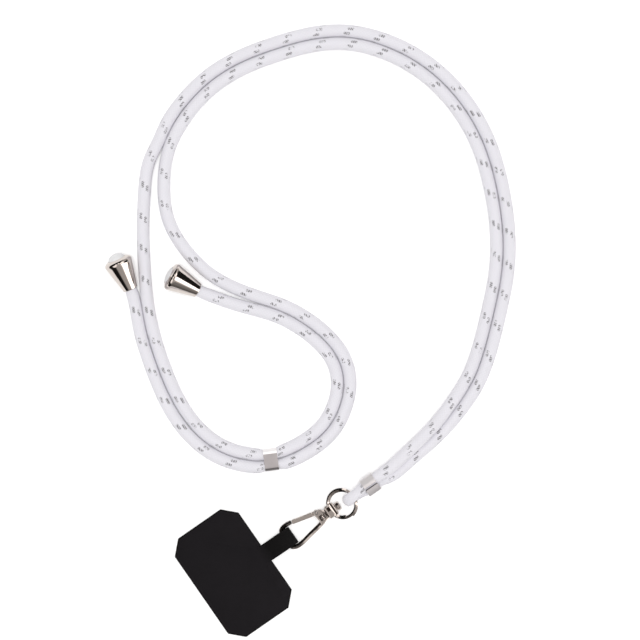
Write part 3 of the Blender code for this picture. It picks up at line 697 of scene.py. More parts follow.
def cord_material(settings):
    """White braid with painted shade in its grooves and grey flecks that come round on a helix, from
    the cord's own UV map.
    """
    nodes = Nodes("cord_braid")
    split = nodes.add("ShaderNodeSeparateXYZ", vector=nodes.place("UV"))
    along, turn = split.outputs["X"], split.outputs["Y"]
    girth = math.tau * settings.radius
    rise = nodes.math("MULTIPLY", along, BRAID_YARNS / girth)
    left = nodes.math("MULTIPLY_ADD", turn, BRAID_YARNS, rise)
    right = nodes.math("MULTIPLY_ADD", turn, -BRAID_YARNS, rise)
    yarn = nodes.weave(left, right)
    nodes.bump(nodes.math("MULTIPLY_ADD", nodes.noise(9000.0, 2.0), 0.25, yarn), 0.35, 0.12 * MM)
    cell = nodes.math("MULTIPLY", turn, FLECK_CLUSTERS)
    cell_middle = nodes.math("ADD", nodes.math("FLOOR", cell), 0.5)
    cell_middle = nodes.math("DIVIDE", cell_middle, FLECK_CLUSTERS)
    across = nodes.math("MULTIPLY", nodes.off_middle(cell), girth / FLECK_CLUSTERS / MM)
    travel = nodes.math("MULTIPLY_ADD", along, 1.0 / settings.fleck_pitch, FLECK_PHASE)
    apart = nodes.off_middle(nodes.math("SUBTRACT", travel, cell_middle))
    apart = nodes.math("MULTIPLY", apart, settings.fleck_pitch / MM)
    dash = nodes.off_middle(nodes.math("MULTIPLY_ADD", across, FLECK_SLANT, apart))
    mask = nodes.ease(nodes.noise(700.0, 2.0), *FLECK_WEAR)
    for distance, edge in ((dash, FLECK_GAP), (apart, FLECK_LONG), (across, FLECK_WIDE)):
        fading = nodes.rest(nodes.ease(nodes.math("ABSOLUTE", distance), *edge))
        mask = nodes.math("MULTIPLY", mask, fading)
    facing = nodes.math("ABSOLUTE", nodes.math("SINE", nodes.math("MULTIPLY", turn, math.tau)))
    facing = nodes.math("MULTIPLY_ADD", nodes.ease(facing, *FLECK_FACING), 0.8, 0.2)
    mask = nodes.math("MULTIPLY", mask, facing)
    base = nodes.tinted(nodes.noise(120.0, 3.0), settings.base, 0.96)
    # Painted shade darkens the base colour in the grooves between the yarns
    groove = nodes.math("MULTIPLY", nodes.rest(nodes.ease(yarn, 0.0, 0.45)), 0.35)
    base = nodes.mix(groove, base, opaque([part * 0.72 for part in settings.base]))
    nodes.surface(
        base_color=nodes.mix(mask, base, opaque(settings.fleck)),
        roughness=0.72,
        sheen_weight=0.15,
        sheen_roughness=0.5,
    )
    return nodes.material


def nickel_material(settings):
    """Bright warm nickel plate, a little uneven from the polishing, with painted shade in its
    recesses.
    """
    nodes = Nodes(NICKEL)
    # Painted shade darkens the recesses and makes them rougher
    recess_shade = nodes.attribute("recess_shade")
    colour = nodes.tinted(nodes.noise(260.0, 4.0), settings.nickel, 0.93)
    smooth = nodes.math("MULTIPLY_ADD", nodes.noise(900.0), 0.07, 0.05)
    nodes.surface(
        base_color=nodes.mix(recess_shade, colour, opaque(settings.recess_shade)),
        roughness=nodes.math("MULTIPLY_ADD", recess_shade, 0.3, smooth),
        metallic=1.0,
    )
    nodes.bump(nodes.noise(420.0, 2.0), 0.05, 0.05 * MM)
    return nodes.material


def satin_material(settings):
    """Brushed grey plate of the two clips, with painted highlight and painted shade where the
    attribute shade says so.
    """
    nodes = Nodes("clip_satin")
    place = nodes.place("Object")
    stretched = nodes.add("ShaderNodeMapping", vector=place, scale=(1.0, 9.0, 1.0))
    grain = nodes.noise(1500.0, 4.0, stretched.outputs["Vector"])
    shade = nodes.attribute("shade")
    # Painted shade darkens the plate below AS_PLATED; painted highlight brightens it above, where it
    # is also less metallic
    shade_amount = nodes.ease(shade, AS_PLATED, 0.0)
    highlight_amount = nodes.ease(shade, AS_PLATED, 1.0)
    colour = nodes.tinted(grain, settings.satin, 0.84)
    colour = nodes.mix(shade_amount, colour, opaque([part * 0.3 for part in settings.satin]))
    nodes.surface(
        base_color=nodes.mix(highlight_amount, colour, opaque(settings.painted_highlight)),
        roughness=nodes.math("MULTIPLY_ADD", grain, 0.14, 0.24),
        metallic=nodes.math("MULTIPLY_ADD", highlight_amount, -0.5, 0.5),
    )
    nodes.bump(grain, 0.12, 0.03 * MM)
    return nodes.material


def plug_material(settings):
    """Satin white plastic with a soft unevenness."""
    nodes = Nodes("plug_white")
    cloud = nodes.noise(350.0, 3.0)
    roughness = nodes.math("MULTIPLY_ADD", cloud, 0.2, 0.35)
    nodes.surface(base_color=nodes.tinted(cloud, settings.plug, 0.9), roughness=roughness)
    nodes.bump(cloud, 0.2, 0.15 * MM)
    return nodes.material


def cloth_material(settings):
    """Near-black coated cloth: a plain weave of fine threads, and a darker cut rim."""
    nodes = Nodes("patch_cloth")
    back = (0.0, 0.0, -CLASP_TURN)
    turned_back = nodes.add("ShaderNodeMapping", vector=nodes.place("Object"), rotation=back)
    split = nodes.add("ShaderNodeSeparateXYZ", vector=turned_back.outputs["Vector"])
    lines = [nodes.math("MULTIPLY", split.outputs[axis], 1.0 / settings.thread) for axis in "XY"]
    weave = nodes.weave(*lines)
    nodes.bump(nodes.math("MULTIPLY_ADD", nodes.noise(6000.0), 0.3, weave), 0.3, 0.05 * MM)
    cloth = nodes.tinted(nodes.noise(90.0, 4.0), settings.cloth, 1.4)
    cloth = nodes.mix(nodes.attribute("rim"), cloth, opaque(settings.rim))
    nodes.surface(base_color=cloth, roughness=0.68)
    nodes.shader.inputs["Specular IOR Level"].default_value = 0.16
    return nodes.material


def pair_rows(line, side, cord):
    """Rows x, y, z, radius, tallness of the run on one side of the line between the two runs.

    Where the line has a roll, the inner run, on side 1, is lifted on to the outer one by it.
    """
    rows = []
    for i, (x, y, *roll) in enumerate(line):
        here = Vector((x * MM, y * MM, 0.0))
        before = line[max(i - 1, 0)]
        after = line[min(i + 1, len(line) - 1)]
        across = left_of(Vector((after[0] - before[0], after[1] - before[1], 0.0)).normalized())
        roll = math.radians(roll[0]) if roll else 0.0
        beyond = max(0.0, (here - SLIDER_AT).xy.length - CLIP_LENGTH / 2)
        free = 1.0 - math.exp(-beyond / CLIP_SQUEEZE)
        half = lerp(CLIP_CORD_RADIUS, cord.pair_half, free)
        radius = lerp(CLIP_CORD_RADIUS, cord.radius, free)
        tall = lerp(CLIP_CORD_TALL, 1.0, free)
        height = lerp(SLIDER_AT.z, cord.radius, free)
        if side > 0:
            height += 2 * half * math.sin(roll)
        place = here + across * side * half * math.cos(roll)
        rows.append((place.x, place.y, height, radius, tall))
    return rows


def crimp_lean():
    """The way across both runs in the crimp, which is rolled about the cord."""
    return left_of(flat(CLASP_TURN)) * math.cos(CRIMP_ROLL) + UP * math.sin(CRIMP_ROLL)


def crimp_rows(side, cord):
    """Rows of one run inside the crimp and just past its upper end."""
    rows = []
    for reach, free in ((0.15 * MM, 0.0), (3.6 * MM, 0.0), (5.4 * MM, 0.5)):
        radius = lerp(CRIMP_CORD_RADIUS, cord.radius, free)
        half = CRIMP_CORD_HALF + (radius - CRIMP_CORD_RADIUS)
        place = CRIMP_AT + flat(CLASP_TURN) * reach + crimp_lean() * side * half
        rows.append((*place, radius, 1.0))
    return rows


def bell_axis(side):
    """The middle of a bell's narrow end, and the way from there to its wide end."""
    at, turn = BELLS[side]
    mouth = at + UP * (BELL_NARROW * math.cos(BELL_TILT) + TABLE_GAP)
    return mouth, flat(turn) * math.cos(BELL_TILT) + UP * math.sin(BELL_TILT)


def bell_rows(side):
    """Rows of a run at a bell's narrow end and inside it, on the bell's tilted axis."""
    mouth, inwards = bell_axis(side)
    depths = (-1.0 * MM, BELL_CORD_DEPTH)
    return [(*(mouth + inwards * depth), BELL_CORD_RADIUS, 1.0) for depth in depths]


def fold_rows():
    """Rows of the fold from the crimp's lower end round the ring's wire and back.

    They go from the outer run's side, which is low, to the inner run's side, which is high.
    """
    towards_ring = -flat(CLASP_TURN)
    across = -left_of(towards_ring)
    sway = CRIMP_CORD_HALF * math.cos(CRIMP_ROLL)
    rise = CRIMP_CORD_HALF * math.sin(CRIMP_ROLL)
    bend_at = FOLD_APEX - FOLD_BEND
    middle = FOLD_HEIGHT - CRIMP_AT.z
    limb_height = middle - FOLD_BEND + 0.3 * MM
    low = [
        (3.6 * MM, -sway, -rise, CRIMP_CORD_RADIUS, 1.0),
        (bend_at - 2.2 * MM, -FOLD_SWAY, limb_height, FOLD_LIMB_RADIUS, 1.0),
    ]
    for degrees in (-90, -60, -30):
        angle = math.radians(degrees)
        part = math.cos(angle)
        radius = lerp(FOLD_LIMB_RADIUS, FOLD_APEX_RADIUS, part)
        wide = lerp(1.0, FOLD_APEX_WIDE, part)
        lateral = FOLD_SWAY * math.sin(angle)
        height = middle + FOLD_BEND * math.sin(angle)
        low.append((bend_at + FOLD_BEND * part, lateral, height, radius, wide))
    high = []
    for reach, lateral, height, radius, wide in low:
        high.append((reach, -lateral, 2 * middle - height, radius, wide))
    high[0] = (low[0][0], sway, rise, CRIMP_CORD_RADIUS, 1.0)
    rows = low + [(FOLD_APEX, 0.0, middle, FOLD_APEX_RADIUS, FOLD_APEX_WIDE)] + high[::-1]
    made = []
    for reach, lateral, height, radius, wide in rows:
        place = CRIMP_AT + towards_ring * reach + across * lateral + UP * height
        made.append((*place, radius, wide))
    return made


def lying(route, cord):
    return [(x * MM, y * MM, cord.radius, cord.radius, 1.0) for x, y in route]


def cord_route(cord):
    """Rows of the whole cord from the left bell, round the ring, to the right bell."""
    inner = crimp_rows(1, cord) + pair_rows(PAIR_TOP, 1, cord)
    inner += lying(INNER_LEFT, cord) + pair_rows(PAIR_LOOP, -1, cord)[::-1]
    inner += lying(INNER_TO_BELL, cord) + bell_rows("left")
    outer = crimp_rows(-1, cord) + pair_rows(PAIR_TOP, -1, cord)
    outer += lying(OUTER_LEFT, cord) + pair_rows(PAIR_LOOP, 1, cord)
    outer += lying(OUTER_TO_BELL, cord) + bell_rows("right")
    rows = inner[::-1] + fold_rows()[::-1] + outer
    shift = (*SHEET_SHIFT, 0.0, 0.0)
    return [tuple(a + b for a, b in zip(row, shift)) for row in rows]


class STRAP_OT_add_cord(bpy.types.Operator):
    """Adds the braided cord, one unbroken length from bell to bell"""

    bl_idname = "strap.add_cord"
    bl_label = "Add Cord"

    def execute(self, context):
        cord = context.scene.strap_cord
        route = spline(cord_route(cord), 1.4 * MM)
        centres = route[:, :3]
        sides, ups = carried_frames(centres, UP)
        ahead = np.cross(ups, sides)
        crimp = np.array(CRIMP_AT + SHEET_SHIFT)
        near_fold = np.linalg.norm(centres - crimp, axis=1) < FOLD_APEX + FOLD_BEND
        below_crimp = (centres - crimp) @ np.array(flat(CLASP_TURN)) < 0.0
        fold_axis = Vector(flat(CLASP_TURN)).cross(UP)
        wide_axis = np.where((near_fold & below_crimp)[:, None], np.array(fold_axis), np.array(UP))
        wide_axis = wide_axis - ahead * np.sum(wide_axis * ahead, axis=1)[:, None]
        wide_axis /= np.linalg.norm(wide_axis, axis=1)[:, None]
        places = np.arange(len(route))
        waves = [np.sin(wave * places) for wave in SWELL_WAVES]
        swell = 1.0 + SWELL * waves[0] * waves[1]
        free = route[:, 3] > FREE_SHARE * cord.radius
        radii = (route[:, 3] * np.where(free, swell, 1.0))[:, None]
        more = (route[:, 4] - 1.0)[:, None]
        shaped = []
        for vectors in (sides, ups):
            reach = np.sum(vectors * wide_axis, axis=1)[:, None]
            shaped.append(radii * (vectors + wide_axis * reach * more))
        bm = tube(centres, shaped[0], shaped[1], 24)
        cord_nodes = ("cord_outer_run", "cord_inner_run", "cord_fold")
        piece = add_piece("cord", bm, cord_material(cord), "strap", cord_nodes, sharp=80.0)
        return {"FINISHED"}


def corner_arcs(width, height, corner):
    """The four corners of a rounded rectangle, each an arc of points, from the low right one.

    Each arc has one more point on the flat before and after it, where its painted light ends.
    """
    arcs = []
    for quarter, (sx, sy) in enumerate(((1, -1), (1, 1), (-1, 1), (-1, -1))):
        middle = Vector((sx * (width / 2 - corner), sy * (height / 2 - corner)))
        angles = [math.radians(7.5 * step + 90.0 * (quarter - 1)) for step in range(13)]
        bend = [middle + corner * flat(angle).xy for angle in angles]
        before = bend[0] - CLIP_GUARD * flat(angles[0] + math.pi / 2).xy
        after = bend[-1] + CLIP_GUARD * flat(angles[-1] + math.pi / 2).xy
        arcs.append([before, *bend, after])
    return arcs


def seam_in_side(size):
    """Way round the section from a seam in the middle of its low side."""
    low = -size[1] / 2
    points = [point for bend in corner_arcs(*size) for point in bend]
    return [(SLIDER_SEAM / 2, low), *points, (-SLIDER_SEAM / 2, low)]


def seam_in_corner(size):
    """Way round the section from a seam in its low right corner."""
    arcs = corner_arcs(*size)
    return arcs[0][7:] + arcs[1] + arcs[2] + arcs[3] + arcs[0][:4]


def slider_shade(x, y, _):
    """A painted highlight line and a pale painted edge along the slider's far side, painted shade
    along the near edge and a little on the flat.
    """
    edge, wide = SLIDER_SIZE[0] / 2, SLIDER_SIZE[2] / 2
    if y > 0.0 and edge - 2 * wide - 0.01 * MM < x < edge - wide:
        return 1.0
    if x > edge - wide:
        return SLIDER_EDGE_SHADE
    return 0.0 if x < wide - edge else SLIDER_FLAT_SHADE


def crimp_shade(x, y, _):
    """A painted highlight on the crimp's upper end, a painted shadow in its seam, and painted shade on
    its broad side that deepens downwards.
    """
    edge, corner = CRIMP_SIZE[0] / 2, CRIMP_SIZE[2]
    middle_x, middle_y = edge - corner, corner - CRIMP_SIZE[1] / 2
    seam = math.degrees(math.atan2(y - middle_y, x - middle_x))
    if x > middle_x and y < middle_y and CRIMP_SEAM_FROM < seam < CRIMP_SEAM_TO:
        return 0.0
    if x > middle_x - CLIP_GUARD and seam > CRIMP_SEAM_TO:
        return CRIMP_END_SHADE
    return CRIMP_FLAT_SHADE - CRIMP_FADE * (edge - x) / edge


class STRAP_OT_add_clips(bpy.types.Operator):
    """Adds the slider clip and the crimp at the ring, each a band bent round both runs"""

    bl_idname = "strap.add_clips"
    bl_label = "Add Clips"

    def execute(self, context):
        plate = satin_material(context.scene.strap_metal)
        across = left_of(flat(SLIDER_TURN))
        bm = self.band(SLIDER_SIZE, seam_in_side, slider_shade, across, UP, SLIDER_AT)
        add_piece("slider_clip_band", bm, plate, "strap", ("slider_clip",))
        lean = crimp_lean()
        over = lean.cross(flat(CLASP_TURN))
        bm = self.band(CRIMP_SIZE, seam_in_corner, crimp_shade, lean, over, CRIMP_AT)
        add_piece("ring_crimp_band", bm, plate, "strap", ("ring_crimp",))
        return {"FINISHED"}

    def band(self, size, way_round, shade_at, across, over, at):
        width, height, corner = size
        outside = way_round(size)
        inside = way_round((width - 2 * CLIP_WALL, height - 2 * CLIP_WALL, corner - CLIP_WALL))
        bm = slab(outside + inside[::-1], -CLIP_LENGTH / 2, CLIP_LENGTH / 2)
        soften(bm, 0.14 * MM, 3)
        paint(bm, "shade", shade_at)
        turn = Matrix((across, over, across.cross(over))).transposed().to_4x4()
        bmesh.ops.transform(bm, matrix=Matrix.Translation(at + SHEET_SHIFT) @ turn, verts=bm.verts)
        return bm


def bell_profile():
    """Closed profile of a bell, (radius, height) from its narrow end at height zero."""
    shoulder = BELL_LENGTH - BELL_SHOULDER
    slope = (BELL_WIDE - BELL_NARROW) / shoulder
    lip = 0.3 * MM
    outside = arc((BELL_NARROW - lip, lip), lip, (-90, -60, -30, 0))
    degrees = (-12, -4, 5, 15, 25, 35, 45, 55, 65)
    rounded = arc((BELL_WIDE - BELL_ROUND, shoulder), BELL_ROUND, degrees)
    low, high = Vector(outside[-1]), Vector(rounded[0])
    outside += [tuple(low.lerp(high, part)) for part in (0.3, 0.6, 0.94)] + rounded
    throat = BELL_CORD_RADIUS + 0.15 * MM
    inside = [
        (BELL_MOUTH + 0.15 * MM, BELL_LENGTH - 0.05 * MM),
        (BELL_MOUTH, BELL_LENGTH - 0.3 * MM),
        (BELL_MOUTH, BELL_LENGTH - 1.0 * MM),
        (BELL_WIDE - BELL_WALL, shoulder - 0.4 * MM),
        (throat + slope * BELL_WALL, BELL_WALL),
        (throat, 0.1 * MM),
        (throat + 0.15 * MM, 0.0),
    ]
    return outside + inside


def plug_profile(rise):
    """The white plug that fills a bell's mouth and domes out of it."""
    rim = BELL_LENGTH - 0.2 * MM
    seat = BELL_LENGTH - PLUG_SEAT
    radius = BELL_MOUTH - 0.08 * MM
    dome = arc((0.0, rim), radius, range(10, 90, 10), rise)
    return [(0.0, seat), (radius, seat), (radius, rim), *dome, (0.0, rim + rise)]


class STRAP_OT_add_bells(bpy.types.Operator):
    """Adds the two bells on the cord's ends and their white plugs"""

    bl_idname = "strap.add_bells"
    bl_label = "Add Bells"

    def execute(self, context):
        white = plug_material(context.scene.strap_cord)
        for side, (_, turn) in BELLS.items():
            mouth, axis = bell_axis(side)
            across = left_of(flat(turn))
            turn_up = Matrix((across, axis.cross(across), axis)).transposed().to_4x4()
            place = Matrix.Translation(mouth + SHEET_SHIFT) @ turn_up
            node = "bell_" + side
            bell = turned(bell_profile(), 72, ring=True)
            add_nickel(node + "_shell", bell, "strap", (node,), place)
            node = "bell_plug_" + side
            plug = turned(plug_profile(PLUG_RISE[side]), 48)
            add_piece(node + "_dome", plug, white, "strap", (node,), place)
        return {"FINISHED"}


class STRAP_OT_add_ring(bpy.types.Operator):
    """Adds the split ring, a flat wire wound just short of two turns"""

    bl_idname = "strap.add_ring"
    bl_label = "Add Split Ring"

    def execute(self, context):
        middle = RING_OUTER - RING_WIRE / 2
        steps = round(110 * RING_TURNS)
        drop = -RING_PITCH * RING_TURNS / 2
        centres, sides, ups = [], [], []
        for step in range(steps + 1):
            part = step / steps
            angle = math.tau * RING_TURNS * part + RING_START
            outwards = np.array(flat(angle))
            slide = flat(RING_SHEAR_WAY) * RING_SHEAR * RING_TURNS * (0.5 - part)
            rise = UP * (drop + RING_PITCH * RING_TURNS * part)
            centres.append(outwards * middle + np.array(slide + rise))
            sides.append(outwards * RING_WIRE / 2)
            ups.append(np.array(UP) * RING_WIRE_HEIGHT / 2)
        bm = tube(np.array(centres), np.array(sides), np.array(ups), 20, RING_RIDGE)
        tilt = Matrix.Rotation(-RING_TILT, 4, "Y")
        reach = RING_IN_EYE + middle * math.cos(RING_TILT)
        height = middle * math.sin(RING_TILT)
        place = CLASP @ Matrix.Translation((reach, RING_ACROSS, height)) @ tilt
        add_nickel("split_ring_wire", bm, "strap", ("split_ring",), place)
        return {"FINISHED"}


def eye_recess_shade(u, v, z):
    """How much painted shade the eye has: its inside and groove wholly, its neck in part."""
    near, rim = 0.1 * MM, 0.3 * MM
    inside = TUNNEL_NEAR - near < u < TUNNEL_FAR + near
    inside = inside and abs(v) < EYE_HIGH.y - rim and z < EYE_HIGH.z - near
    low, high = in_metres(GROOVE_FLOOR)
    grooved = low[0] < u < high[0] and low[1] < z < high[1]
    necked = u > EYE_HIGH.x and math.hypot(v, z) < NECK_RADIUS + near / 2
    return 1.0 if inside or grooved else 0.6 if necked else 0.0


class STRAP_OT_add_eye(bpy.types.Operator):
    """Adds the swivel eye: frame, window, tunnel for the ring, and knob"""

    bl_idname = "strap.add_eye"
    bl_label = "Add Swivel Eye"

    def execute(self, context):
        eye = soften(block(EYE_LOW, EYE_HIGH), 0.5 * MM, 4)
        knob_profile = (
            (0.0, EYE_HIGH.x - 0.6 * MM),
            (NECK_RADIUS, EYE_HIGH.x - 0.6 * MM),
            (NECK_RADIUS, KNOB_NEAR),
            (KNOB_RADIUS - 0.15 * MM, KNOB_NEAR),
            (KNOB_RADIUS, KNOB_NEAR + 0.2 * MM),
            (KNOB_RADIUS, KNOB_FAR - 0.5 * MM),
            (KNOB_RADIUS - 0.2 * MM, KNOB_FAR - 0.2 * MM),
            (KNOB_RADIUS - 0.7 * MM, KNOB_FAR),
            (0.0, KNOB_FAR),
        )
        knob = along_u(turned(knob_profile, 40))
        beyond = 1.0 * MM
        low = (TUNNEL_NEAR, EYE_LOW.y - beyond, -TUNNEL_HALF_HEIGHT)
        high = (TUNNEL_FAR, EYE_HIGH.y + beyond, TUNNEL_HALF_HEIGHT)
        tunnel = soften(block(low, high), 0.6 * MM, 4)
        window = soften(block(WINDOW_LOW, WINDOW_HIGH), 0.25 * MM, 3)
        groove = slab_across(in_metres(GROOVE), EYE_LOW.y - beyond, EYE_HIGH.y + beyond)
        ends = EYE_LOW.x - beyond, TUNNEL_NEAR + 0.5 * MM
        bore_profile = ((0, ends[0]), (POST_BORE, ends[0]), (POST_BORE, ends[1]), (0, ends[1]))
        bore = along_u(turned(bore_profile, 32))
        steps = (
            (knob, "UNION"),
            (tunnel, "DIFFERENCE"),
            (window, "DIFFERENCE"),
            (groove, "DIFFERENCE"),
            (bore, "DIFFERENCE"),
        )
        bm = carve(eye, steps)
        paint(bm, "recess_shade", eye_recess_shade)
        add_nickel("swivel_eye_casting", bm, "strap", ("swivel_eye",), CLASP, 32.0)
        return {"FINISHED"}


def spring_coil():
    """A bmesh of the small coil spring that lies in the body's pocket, along v."""
    low, high = POCKET[0][1] * MM, POCKET[1][1] * MM
    centre_u = (POCKET[0][0] + POCKET[2][0]) / 2 * MM
    reach = high - low - 0.5 * MM
    steps = round(28 * SPRING_TURNS)
    centres = []
    for step in range(steps + 1):
        part = step / steps
        angle = math.tau * SPRING_TURNS * part
        u = centre_u + SPRING_RADIUS * math.cos(angle)
        z = POCKET_FLOOR + SPRING_RADIUS + SPRING_WIRE + SPRING_RADIUS * math.sin(angle)
        centres.append((u, low + 0.25 * MM + reach * part, z))
    centres = np.array(centres)
    sides, ups = carried_frames(centres, UP)
    return tube(centres, sides * SPRING_WIRE, ups * SPRING_WIRE, 8)


def pin_hole():
    """A bmesh that cuts the hole for the gate's pin, round the origin."""
    deep = 4 * MM
    return turned(((0, -deep), (PIN_HOLE, -deep), (PIN_HOLE, deep), (0, deep)), 32)


def hook_recess_shade(u, v, z):
    """How much painted shade the hook has: in its pocket in part, on its collar and at its nose's end
    wholly.
    """
    near = 0.05 * MM
    low, high = in_metres((POCKET[3], POCKET[0]))
    if low[0] - near < u < high[0] + near and POCKET_FLOOR - 2 * near < z < POCKET_LIP:
        return 0.75
    rim = abs(math.hypot(v, z) - COLLAR_RADIUS) < 0.03 * MM
    collared = u > COLLAR_NEAR - near and rim
    beyond = v > PIVOT.y + NOSE_FROM_PIVOT[1] and u < PIVOT.x + NOSE_FROM_PIVOT[0]
    return 1.0 if collared or (beyond and u > NOSE_NOTCH) else 0.0


class STRAP_OT_add_hook(bpy.types.Operator):
    """Adds the hook: rod, body with its pocket and spring, post, and the gate's pin"""

    bl_idname = "strap.add_hook"
    bl_label = "Add Hook"

    def execute(self, context):
        body = soften(slab(in_metres(HOOK_BODY), -BODY_HALF_THICK, BODY_HALF_THICK), 0.75 * MM, 4)
        rod = rod_along(HOOK_ROD, 0.35 * MM, 20)
        post_profile = (
            (0.0, -1.0 * MM),
            (POST_RADIUS, -1.0 * MM),
            (POST_RADIUS, COLLAR_NEAR),
            (COLLAR_RADIUS, COLLAR_NEAR),
            (COLLAR_RADIUS, COLLAR_FAR),
            (POST_RADIUS, COLLAR_FAR),
            (POST_RADIUS, POST_HEAD_NEAR),
            (POST_HEAD, POST_HEAD_NEAR),
            (POST_HEAD, POST_HEAD_FAR),
            (0.0, POST_HEAD_FAR),
        )
        post = along_u(turned(post_profile, 32))
        slot_outline = arc(PIVOT.xy, SLOT_RADIUS, [7.5 * step - 75.0 for step in range(33)])
        slot_outline += in_metres(((-8.5, 4.6), (-8.5, 0.4), (-5.0, 0.7)))
        slot = slab(slot_outline, -SLOT_HALF_HEIGHT, SLOT_HALF_HEIGHT)
        hole = pin_hole()
        bmesh.ops.translate(hole, verts=hole.verts, vec=PIVOT)
        pocket = slab(in_metres(POCKET), POCKET_FLOOR, BODY_HALF_THICK + 1 * MM)
        soften(pocket, 0.35 * MM, 3)
        steps = (
            (rod, "UNION"),
            (post, "UNION"),
            (slot, "DIFFERENCE"),
            (hole, "DIFFERENCE"),
            (pocket, "DIFFERENCE"),
        )
        bm = carve(body, steps)
        paint(bm, "recess_shade", hook_recess_shade)
        add_nickel("hook_casting", bm, "clasp", ("hook",), CLASP, 32.0)
        self.add_pin()
        add_nickel("hook_spring", spring_coil(), "clasp", (), CLASP)
        return {"FINISHED"}

    def add_pin(self):
        head, dome = BODY_HALF_THICK, 0.3 * MM
        side = arc((0.0, head - dome), PIN_RADIUS, (0, 30, 60), dome)
        pin = turned([(0.0, -head), (PIN_RADIUS, -head), *side, (0.0, head)], 32)
        bmesh.ops.translate(pin, verts=pin.verts, vec=PIVOT)
        add_nickel("gate_pin_rivet", pin, "clasp", ("gate_pin",), CLASP)


class STRAP_OT_add_gate(bpy.types.Operator):
    """Adds the sprung gate that closes the hook"""

    bl_idname = "strap.add_gate"
    bl_label = "Add Gate"

    def execute(self, context):
        half = GATE_HALF_WIDTH
        outline = (
            (GATE_START, -half + 0.4 * MM),
            (GATE_START + 0.5 * MM, -half),
            (GATE_LENGTH - 0.5 * MM, -half + 0.05 * MM),
            (GATE_LENGTH, -half + 0.5 * MM),
            (GATE_LENGTH, half - 0.5 * MM),
            (GATE_LENGTH - 0.5 * MM, half - 0.05 * MM),
            (GATE_START + 0.5 * MM, half),
            (GATE_START, half - 0.4 * MM),
        )
        gate = soften(slab(outline, -GATE_HALF_THICK, GATE_HALF_THICK), 0.45 * MM, 5)
        tongue_outline = arc((0.0, 0.0), 1.5 * MM, range(50, 320, 10))
        tongue_outline += [(GATE_START + 1.0 * MM, -0.9 * MM), (GATE_START + 1.0 * MM, 0.9 * MM)]
        tongue = slab(tongue_outline, -0.65 * MM, 0.65 * MM)
        bm = carve(gate, ((tongue, "UNION"), (pin_hole(), "DIFFERENCE")))
        place = CLASP @ Matrix.Translation(PIVOT) @ Matrix.Rotation(GATE_TURN, 4, "Z")
        add_nickel("gate_arm", bm, "gate", ("gate",), place, 32.0)
        return {"FINISHED"}


def tab_side(grow, low, high):
    """A bmesh of the tab's side view, across the clasp from low to high. The wall is grow."""
    reach = BAR_REACH + grow
    middle = TAB_END - PATCH_THICK - reach + grow
    nose = arc((middle, 0.0), reach, [8.0 * step - 80.0 for step in range(22)])
    floor = PATCH_THICK - SWIVEL_AT.z - grow
    tail = 0.5 * MM + 2 * grow
    outline = [
        (TAB_ROOT if grow else PATCH_NEAR + 2.6 * MM, floor),
        (nose[0][0] - 0.6 * MM, floor),
        *nose[1:],
        (BAR_CENTRE - 0.4 * MM, reach - 0.02 * MM),
        (PATCH_NEAR + 6.5 * MM, floor + tail + 1.6 * MM),
        (PATCH_NEAR + 2.4 * MM, floor + tail + (0.2 * MM if grow else -0.2 * MM)),
    ]
    if grow:
        outline.append((TAB_ROOT, floor + 0.9 * MM))
    return slab_across(outline, low, high)


def patch_pad():
    """A bmesh of the pad, with clipped corners and a thin pressed rim round its top."""
    clip = PATCH_CLIP
    outline = (
        (PATCH_NEAR, PATCH_LOW + clip),
        (PATCH_NEAR, PATCH_HIGH - clip),
        (PATCH_NEAR - clip, PATCH_HIGH),
        (PATCH_FAR + clip, PATCH_HIGH),
        (PATCH_FAR, PATCH_HIGH - clip),
        (PATCH_FAR, PATCH_LOW + clip),
        (PATCH_FAR + clip, PATCH_LOW),
        (PATCH_NEAR - clip, PATCH_LOW),
    )
    floor = -SWIVEL_AT.z
    bm = soften(slab(outline, floor, floor + PATCH_THICK), 0.22 * MM, 3)
    rim = bm.verts.layers.float.new("rim")
    top = [face for face in bm.faces if face.normal.z > 0.99 and face.calc_area() > PAD_LEAST_TOP]
    for vert in bm.verts:
        vert[rim] = 1.0
    bmesh.ops.inset_region(bm, faces=top, thickness=0.4 * MM, depth=0.0)
    bmesh.ops.inset_region(bm, faces=top, thickness=0.2 * MM, depth=0.07 * MM)
    for face in top:
        for vert in face.verts:
            vert[rim] = 0.0
    return bm


class STRAP_OT_add_patch(bpy.types.Operator):
    """Adds the thin tether patch with its clipped corners and the tab round the hook's bar"""

    bl_idname = "strap.add_patch"
    bl_label = "Add Tether Patch"

    def execute(self, context):
        material = cloth_material(context.scene.strap_patch)
        beyond = 1.0 * MM
        tab = soften(tab_side(PATCH_THICK, TAB_LOW, TAB_HIGH), 0.2 * MM, 2, 60.0)
        gap = tab_side(0.0, TAB_LOW - beyond, TAB_HIGH + beyond)
        bm = carve(patch_pad(), ((tab, "UNION"), (gap, "DIFFERENCE")))
        nodes = ("tether_patch",)
        piece = add_piece("tether_patch_cloth", bm, material, "clasp", nodes, CLASP, 50.0)
        return {"FINISHED"}


